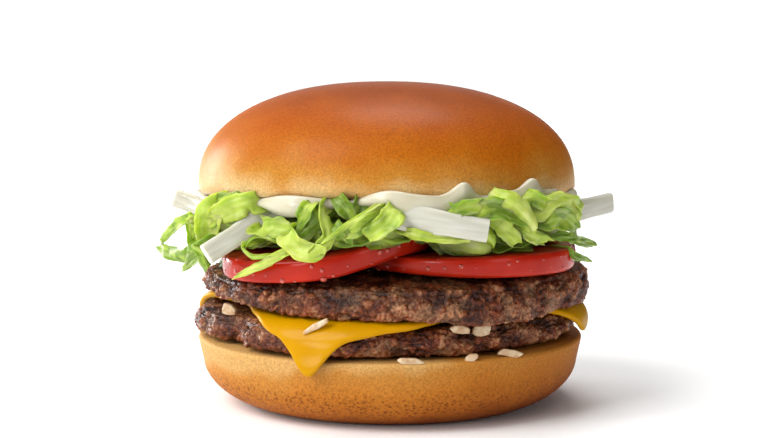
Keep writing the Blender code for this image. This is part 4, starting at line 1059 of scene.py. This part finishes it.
gathered = bmesh.new()
for seed, spot in enumerate(ONION_FLAKES):
    one = flake(spot, seed)
    holder = bpy.data.meshes.new("flake")
    one.to_mesh(holder)
    one.free()
    gathered.from_mesh(holder)
    bpy.data.meshes.remove(holder)
flakes_mesh = bpy.data.meshes.new("chopped_onion")
gathered.to_mesh(flakes_mesh)
gathered.free()

# Griddled onion: cream with a tan tinge where it has browned, duller than the raw slivers.
cooked_onion, tree, shader = new_material("Chopped onion, griddled", Roughness=0.38, Subsurface_Weight=0.4,
                                          Subsurface_Radius=(0.002, 0.0015, 0.0009), Subsurface_Scale=0.5)
where = add(tree, "ShaderNodeTexCoord").outputs["Object"]
cloud = add(tree, "ShaderNodeTexNoise", {"Vector": where, "Scale": 1 / (1.6 * MM), "Detail": 2.0})
cream = add(tree, "ShaderNodeValToRGB", {0: cloud.outputs[0]}, stops=((0.3, "#b58c64"), (0.5, "#c9ad88"),
                                                                      (0.7, "#dccbb0")))
tree.links.new(cream.outputs[0], shader.inputs["Base Color"])
chopped_onion = link("chopped_onion", flakes_mesh, cooked_onion)
dress(chopped_onion, [])


# The mayonnaise. Spread on the cut of the upper bun and squeezed out round its rim in a thick, uneven bead
# that climbs the crust in places and sags over the lettuce in others.

MAYO_FILM_RADIUS = 46.2 * MM
MAYO_BEAD_RADIUS = 48.4 * MM
MAYO_BEAD_TOP = -0.4 * MM
MAYO_BEAD_LOW = -1.9 * MM
MAYO_SWELLS = ((-118, 10, 0.0012, -0.0028, 0.0036), (-90, 7, 0.0022, 0.0004, 0.0030),
               (-79, 9, 0.0012, -0.0040, 0.0040), (-68, 4.5, 0.0042, 0.0014, 0.0028),
               (-54, 7, 0.0022, 0.0002, 0.0036), (-44, 5, 0.0048, 0.0012, 0.0028),
               (-33, 7, 0.0024, 0.0012, 0.0030), (-14, 10, 0.0020, -0.0004, 0.0028),
               (28, 11, 0.0012, -0.0020, 0.0030), (66, 8, 0.0026, 0.0008, 0.0032),
               (98, 12, 0.0010, -0.0024, 0.0032), (138, 10, 0.0022, 0.0, 0.0030),
               (180, 9, 0.0016, -0.0004, 0.0026))
MAYO_AROUND = 360
CROWN_OFFSET = Vector((-0.9 * MM, 0.0, 0.0))
crown_frame = (Matrix.Translation(CROWN_OFFSET) @ Matrix.Translation((0, 0, CROWN_LOW))
               @ Matrix.Rotation(-CROWN_TILT, 4, "X"))

mayo_columns = []
for n in range(MAYO_AROUND):
    azimuth = 360 * n / MAYO_AROUND
    top, low, out = MAYO_BEAD_TOP, MAYO_BEAD_LOW, MAYO_BEAD_RADIUS
    for at, width, higher, lower, further in MAYO_SWELLS:
        share = bump_share(azimuth, at, width)
        top += higher * share
        low += lower * share
        out += further * share
    tall = top - low
    inner = min(MAYO_FILM_RADIUS, out - 1.2 * MM)
    film_top, film_low = -2 * GAP, -2 * GAP - MAYO_FILM
    corners = [Vector(pair) for pair in (
        (inner * 0.5, film_top), (inner, max(film_top, top - 1.2 * MM)), (out - 1.1 * MM, top),
        (out - 0.2 * MM, top - tall * 0.25), (out, top - tall * 0.55), (out - 0.4 * MM, top - tall * 0.83),
        (out - 1.6 * MM, low), (inner, min(film_low, low + 0.8 * MM)), (inner * 0.5, film_low))]
    column = []
    for k in range(41):
        section = on_curve(corners, k / 40)
        column.append(crown_frame @ polar(azimuth, section.x, section.y))
    mayo_columns.append(column)

# Mayonnaise: thick cream emulsion, smooth and wet, light spreads a millimetre or two inside it.
mayonnaise_cream, tree, shader = new_material("Mayonnaise, thick", Roughness=0.26, Subsurface_Weight=0.5,
                                              Subsurface_Radius=(0.003, 0.0026, 0.0018), Subsurface_Scale=0.6,
                                              Coat_Weight=0.25, Coat_Roughness=0.12)
where = add(tree, "ShaderNodeTexCoord").outputs["Object"]
cloud = add(tree, "ShaderNodeTexNoise", {"Vector": where, "Scale": 1 / (6 * MM), "Detail": 1.0})
cream = add(tree, "ShaderNodeValToRGB", {0: cloud.outputs[0]}, stops=((0.3, "#c6bfa3"), (0.7, "#d0cab4")))
tree.links.new(cream.outputs[0], shader.inputs["Base Color"])
mayo_rings = [[mayo_columns[n][k] for n in range(MAYO_AROUND)] for k in range(41)]
mayo_bead = link("mayo_bead", ring_mesh("mayo_bead", mayo_rings), mayonnaise_cream)
dress(mayo_bead, ["mayonnaise"])


# The crown of the bun. The domed top half, brushed with glaze before baking: chestnut brown on top, golden
# down the side, pale at the lip where the slices were cut apart.

CROWN_RADIUS = 50.0 * MM
CROWN_HIGH = 84.9 * MM
CROWN_LIP_HEIGHT = 2.6 * MM
CROWN_LIP_INSET = 2.2 * MM
CROWN_ROUND_POWER = 2.22
CROWN_HEIGHT_POWER = 2.29
crown_rise = CROWN_HIGH - CROWN_LOW - CROWN_LIP_HEIGHT
crown_outline = [(0.0, 0.0), (CROWN_RADIUS * 0.5, 0.0), (CROWN_RADIUS * 0.85, 0.0)]
for step in range(7):
    t = math.radians(90 * step / 6)
    crown_outline.append((CROWN_RADIUS - CROWN_LIP_INSET * (1 - math.sin(t)),
                          CROWN_LIP_HEIGHT * (1 - math.cos(t))))
for step in range(1, 61):
    t = math.radians(90 * step / 60)
    crown_outline.append((CROWN_RADIUS * max(0.0, math.cos(t)) ** (2 / CROWN_ROUND_POWER),
                          CROWN_LIP_HEIGHT + crown_rise * math.sin(t) ** (2 / CROWN_HEIGHT_POWER)))
crown_outline[-1] = (0.0, crown_outline[-1][1])

# Glazed crust: egg wash bakes to a thin clear skin, so the browned top has a soft satin shine.
crown_crust, tree, shader = new_material("Glazed bun crust", Roughness=0.46, Specular_IOR_Level=0.08,
                                         Coat_Weight=0.08, Coat_Roughness=0.27)
where, pores = crust_relief(tree, shader, 0.6)
# Painted shade and light: the crown's colour is shifted browner towards the right and paler towards the left.
colour = browned_and_side_shaded(tree, where, ((0.0, "#e2c69a"), (0.10, "#d2ab70"), (0.28, "#b97b2a"), (0.48, "#b0600c"),
                               (0.72, "#a54f06"), (1.0, "#8e4008")), CROWN_LOW, CROWN_HIGH, 0.09, 1.0)
speck = add(tree, "ShaderNodeMapRange", {"Value": pores, "From Min": 0.35, "From Max": 0.65,
                                         "To Min": 0.80, "To Max": 1.10})
spotted = add(tree, "ShaderNodeMix", {0: 1.0, 6: colour, 7: speck.outputs[0]}, data_type="RGBA",
              blend_type="MULTIPLY")
tree.links.new(spotted.outputs[2], shader.inputs["Base Color"])
crown_bun = bun_half("crown_bun", crown_outline, crown_crust, {
    "Seed": 7.0, "Wrinkle": 0.08 * MM, "Lean": -CROWN_TILT, "Place": (CROWN_OFFSET.x, 0.0, CROWN_LOW)})
dress(crown_bun, ["crown"])


# The water. Rinsed tomato keeps flattened drops from 0.3 to 1.2 mm across, mostly on its skin.

drop_tree = curve_tree("Rinsing water drops")
tree_input(drop_tree, "Spacing", "NodeSocketFloat", 2.0 * MM)
tree_input(drop_tree, "Smallest", "NodeSocketFloat", 0.26 * MM)
tree_input(drop_tree, "Largest", "NodeSocketFloat", 0.95 * MM)
tree_input(drop_tree, "Seed", "NodeSocketInt", 5)
tree_input(drop_tree, "Water", "NodeSocketMaterial", None)
given = add(drop_tree, "NodeGroupInput").outputs
on_skin = add(drop_tree, "GeometryNodeInputNamedAttribute", {"Name": "depth"}, data_type="FLOAT")
skin_only = add(drop_tree, "FunctionNodeCompare", {0: on_skin.outputs[0], 1: 0.9}, operation="GREATER_THAN")
spots = add(drop_tree, "GeometryNodeDistributePointsOnFaces", {
    "Mesh": given["Geometry"], "Distance Min": given["Spacing"], "Density Max": 90000.0,
    "Selection": skin_only.outputs[0], "Seed": given["Seed"]}, distribute_method="POISSON")
drop = add(drop_tree, "GeometryNodeMeshIcoSphere", {"Radius": 1.0, "Subdivisions": 3})
flattened = add(drop_tree, "GeometryNodeTransform", {"Geometry": drop.outputs[0], "Scale": (1.0, 1.0, 0.55)})
size = add(drop_tree, "FunctionNodeRandomValue", {2: 0.0, 3: 1.0, "Seed": given["Seed"]}, data_type="FLOAT")
mostly_small = add(drop_tree, "ShaderNodeMath", {0: size.outputs[1], 1: 2.2}, operation="POWER")
spread = add(drop_tree, "ShaderNodeMapRange", {"Value": mostly_small.outputs[0], "To Min": given["Smallest"],
                                               "To Max": given["Largest"]})
drops = add(drop_tree, "GeometryNodeInstanceOnPoints", {
    "Points": spots.outputs["Points"], "Instance": flattened.outputs[0], "Rotation": spots.outputs["Rotation"],
    "Scale": spread.outputs[0]})
real = add(drop_tree, "GeometryNodeRealizeInstances", {"Geometry": drops.outputs[0]})
soft = add(drop_tree, "GeometryNodeSetShadeSmooth", {"Geometry": real.outputs[0]})
wetted = add(drop_tree, "GeometryNodeSetMaterial", {"Geometry": soft.outputs[0], "Material": given["Water"]})
add(drop_tree, "NodeGroupOutput", {0: wetted.outputs[0]})

# Water drops: glossy, seen by their highlights; their colour is the red of the skin under them, painted lighter on the
# lower side and darker on top as painted light focused through the drop.
water, tree, shader = new_material("Water drops", Roughness=0.06, IOR=1.333, Coat_Weight=1.0,
                                   Coat_Roughness=0.03, Coat_IOR=1.6)
facing = add(tree, "ShaderNodeSeparateXYZ", {0: add(tree, "ShaderNodeNewGeometry").outputs["Normal"]})
glow = add(tree, "ShaderNodeMapRange", {"Value": facing.outputs["Z"], "From Min": -1.0, "From Max": 1.0})
lens = add(tree, "ShaderNodeValToRGB", {0: glow.outputs[0]}, stops=((0.1, "#dc6a54"), (0.45, "#b83020"),
                                                                    (0.9, "#8c1c10")))
tree.links.new(lens.outputs[0], shader.inputs["Base Color"])
for number, slice_piece in enumerate((tomato_slice_left, tomato_slice_right)):
    bearer = bpy.data.objects.new(f"water_{number + 1}", slice_piece.data.copy())
    bpy.context.scene.collection.objects.link(bearer)
    applied(bearer, drop_tree, {"Seed": 5 + number, "Water": water})
    dress(bearer, [])


# The studio: a white sweep, a large soft lamp high on the left, a weaker one overhead, and the camera at
# the photograph's height and distance.

SWEEP_SIZE = 3.0
sweep_mesh = bpy.data.meshes.new("white_sweep")
half = SWEEP_SIZE / 2
sweep_mesh.from_pydata([(-half, -half, 0), (half, -half, 0), (half, half, 0), (-half, half, 0)], [], [(0, 1, 2, 3)])
paper, tree, shader = new_material("White paper sweep", Roughness=0.9)
shader.inputs["Base Color"].default_value = (0.97, 0.97, 0.97, 1)
white_sweep = link("white_sweep", sweep_mesh, paper)

world = bpy.data.worlds.new("studio")
bpy.context.scene.world = world
world.use_nodes = True
tree = world.node_tree
toward = add(tree, "ShaderNodeTexCoord").outputs["Generated"]
to_window = add(tree, "ShaderNodeVectorMath", {0: toward, 1: (-0.70, -0.05, 0.71)}, operation="DOT_PRODUCT")
walls = add(tree, "ShaderNodeMapRange", {"Value": to_window.outputs["Value"], "From Min": -0.15, "From Max": 0.9,
                                         "To Min": 0.04, "To Max": 0.72})
to_back = add(tree, "ShaderNodeVectorMath", {0: toward, 1: (0.0, 1.0, 0.0)}, operation="DOT_PRODUCT")
paper_back = add(tree, "ShaderNodeMapRange", {"Value": to_back.outputs["Value"], "From Min": 0.955,
                                              "From Max": 0.975, "To Min": 0.0, "To Max": 1.05})
room = add(tree, "ShaderNodeMath", {0: walls.outputs[0], 1: paper_back.outputs[0]}, operation="MAXIMUM")
tree.nodes["Background"].inputs["Color"].default_value = (1.0, 1.0, 1.0, 1.0)
tree.links.new(room.outputs[0], tree.nodes["Background"].inputs["Strength"])


def soft_lamp(name, place, aim, size, power, spread=180):
    lamp = bpy.data.objects.new(name, bpy.data.lights.new(name, "AREA"))
    lamp.data.shape = "DISK"
    lamp.data.size = size
    lamp.data.energy = power
    lamp.data.spread = math.radians(spread)
    lamp.location = place
    lamp.rotation_euler = (Vector(aim) - Vector(place)).to_track_quat("-Z", "Y").to_euler()
    bpy.context.scene.collection.objects.link(lamp)


soft_lamp("overhead", (0.03, 0.20, 0.60), (0, 0, 0.06), 0.30, 1.4)
soft_lamp("backdrop", (0, 1.3, 0.75), (0, 1.3, 0), 1.2, 2.2, 70)
soft_lamp("front_left", (-0.46, -0.55, 0.22), (0, 0, 0.04), 0.22, 1.2)
soft_lamp("left_rear", (-0.50, 0.40, 0.14), (0, 0, 0.05), 0.26, 2.4)
soft_lamp("front_right", (0.42, -0.50, 0.20), (0, 0, 0.045), 0.30, 0.5)

key = bpy.data.objects.new("key", bpy.data.lights.new("key", "SUN"))
key.data.angle = math.radians(38)
key.data.energy = 2.4
key.rotation_euler = Vector((0.66, 0.41, -0.78)).to_track_quat("-Z", "Y").to_euler()
bpy.context.scene.collection.objects.link(key)

camera = bpy.data.objects.new("camera", bpy.data.cameras.new("camera"))
camera.data.sensor_width = CAMERA_SENSOR
camera.data.lens = CAMERA_LENS
camera.data.clip_start = 0.01
camera.location = CAMERA_PLACE
camera.rotation_euler = (math.radians(90) - CAMERA_PITCH, 0.0, 0.0)
bpy.context.scene.collection.objects.link(camera)
bpy.context.scene.camera = camera
bpy.context.scene.view_settings.view_transform = "Standard"
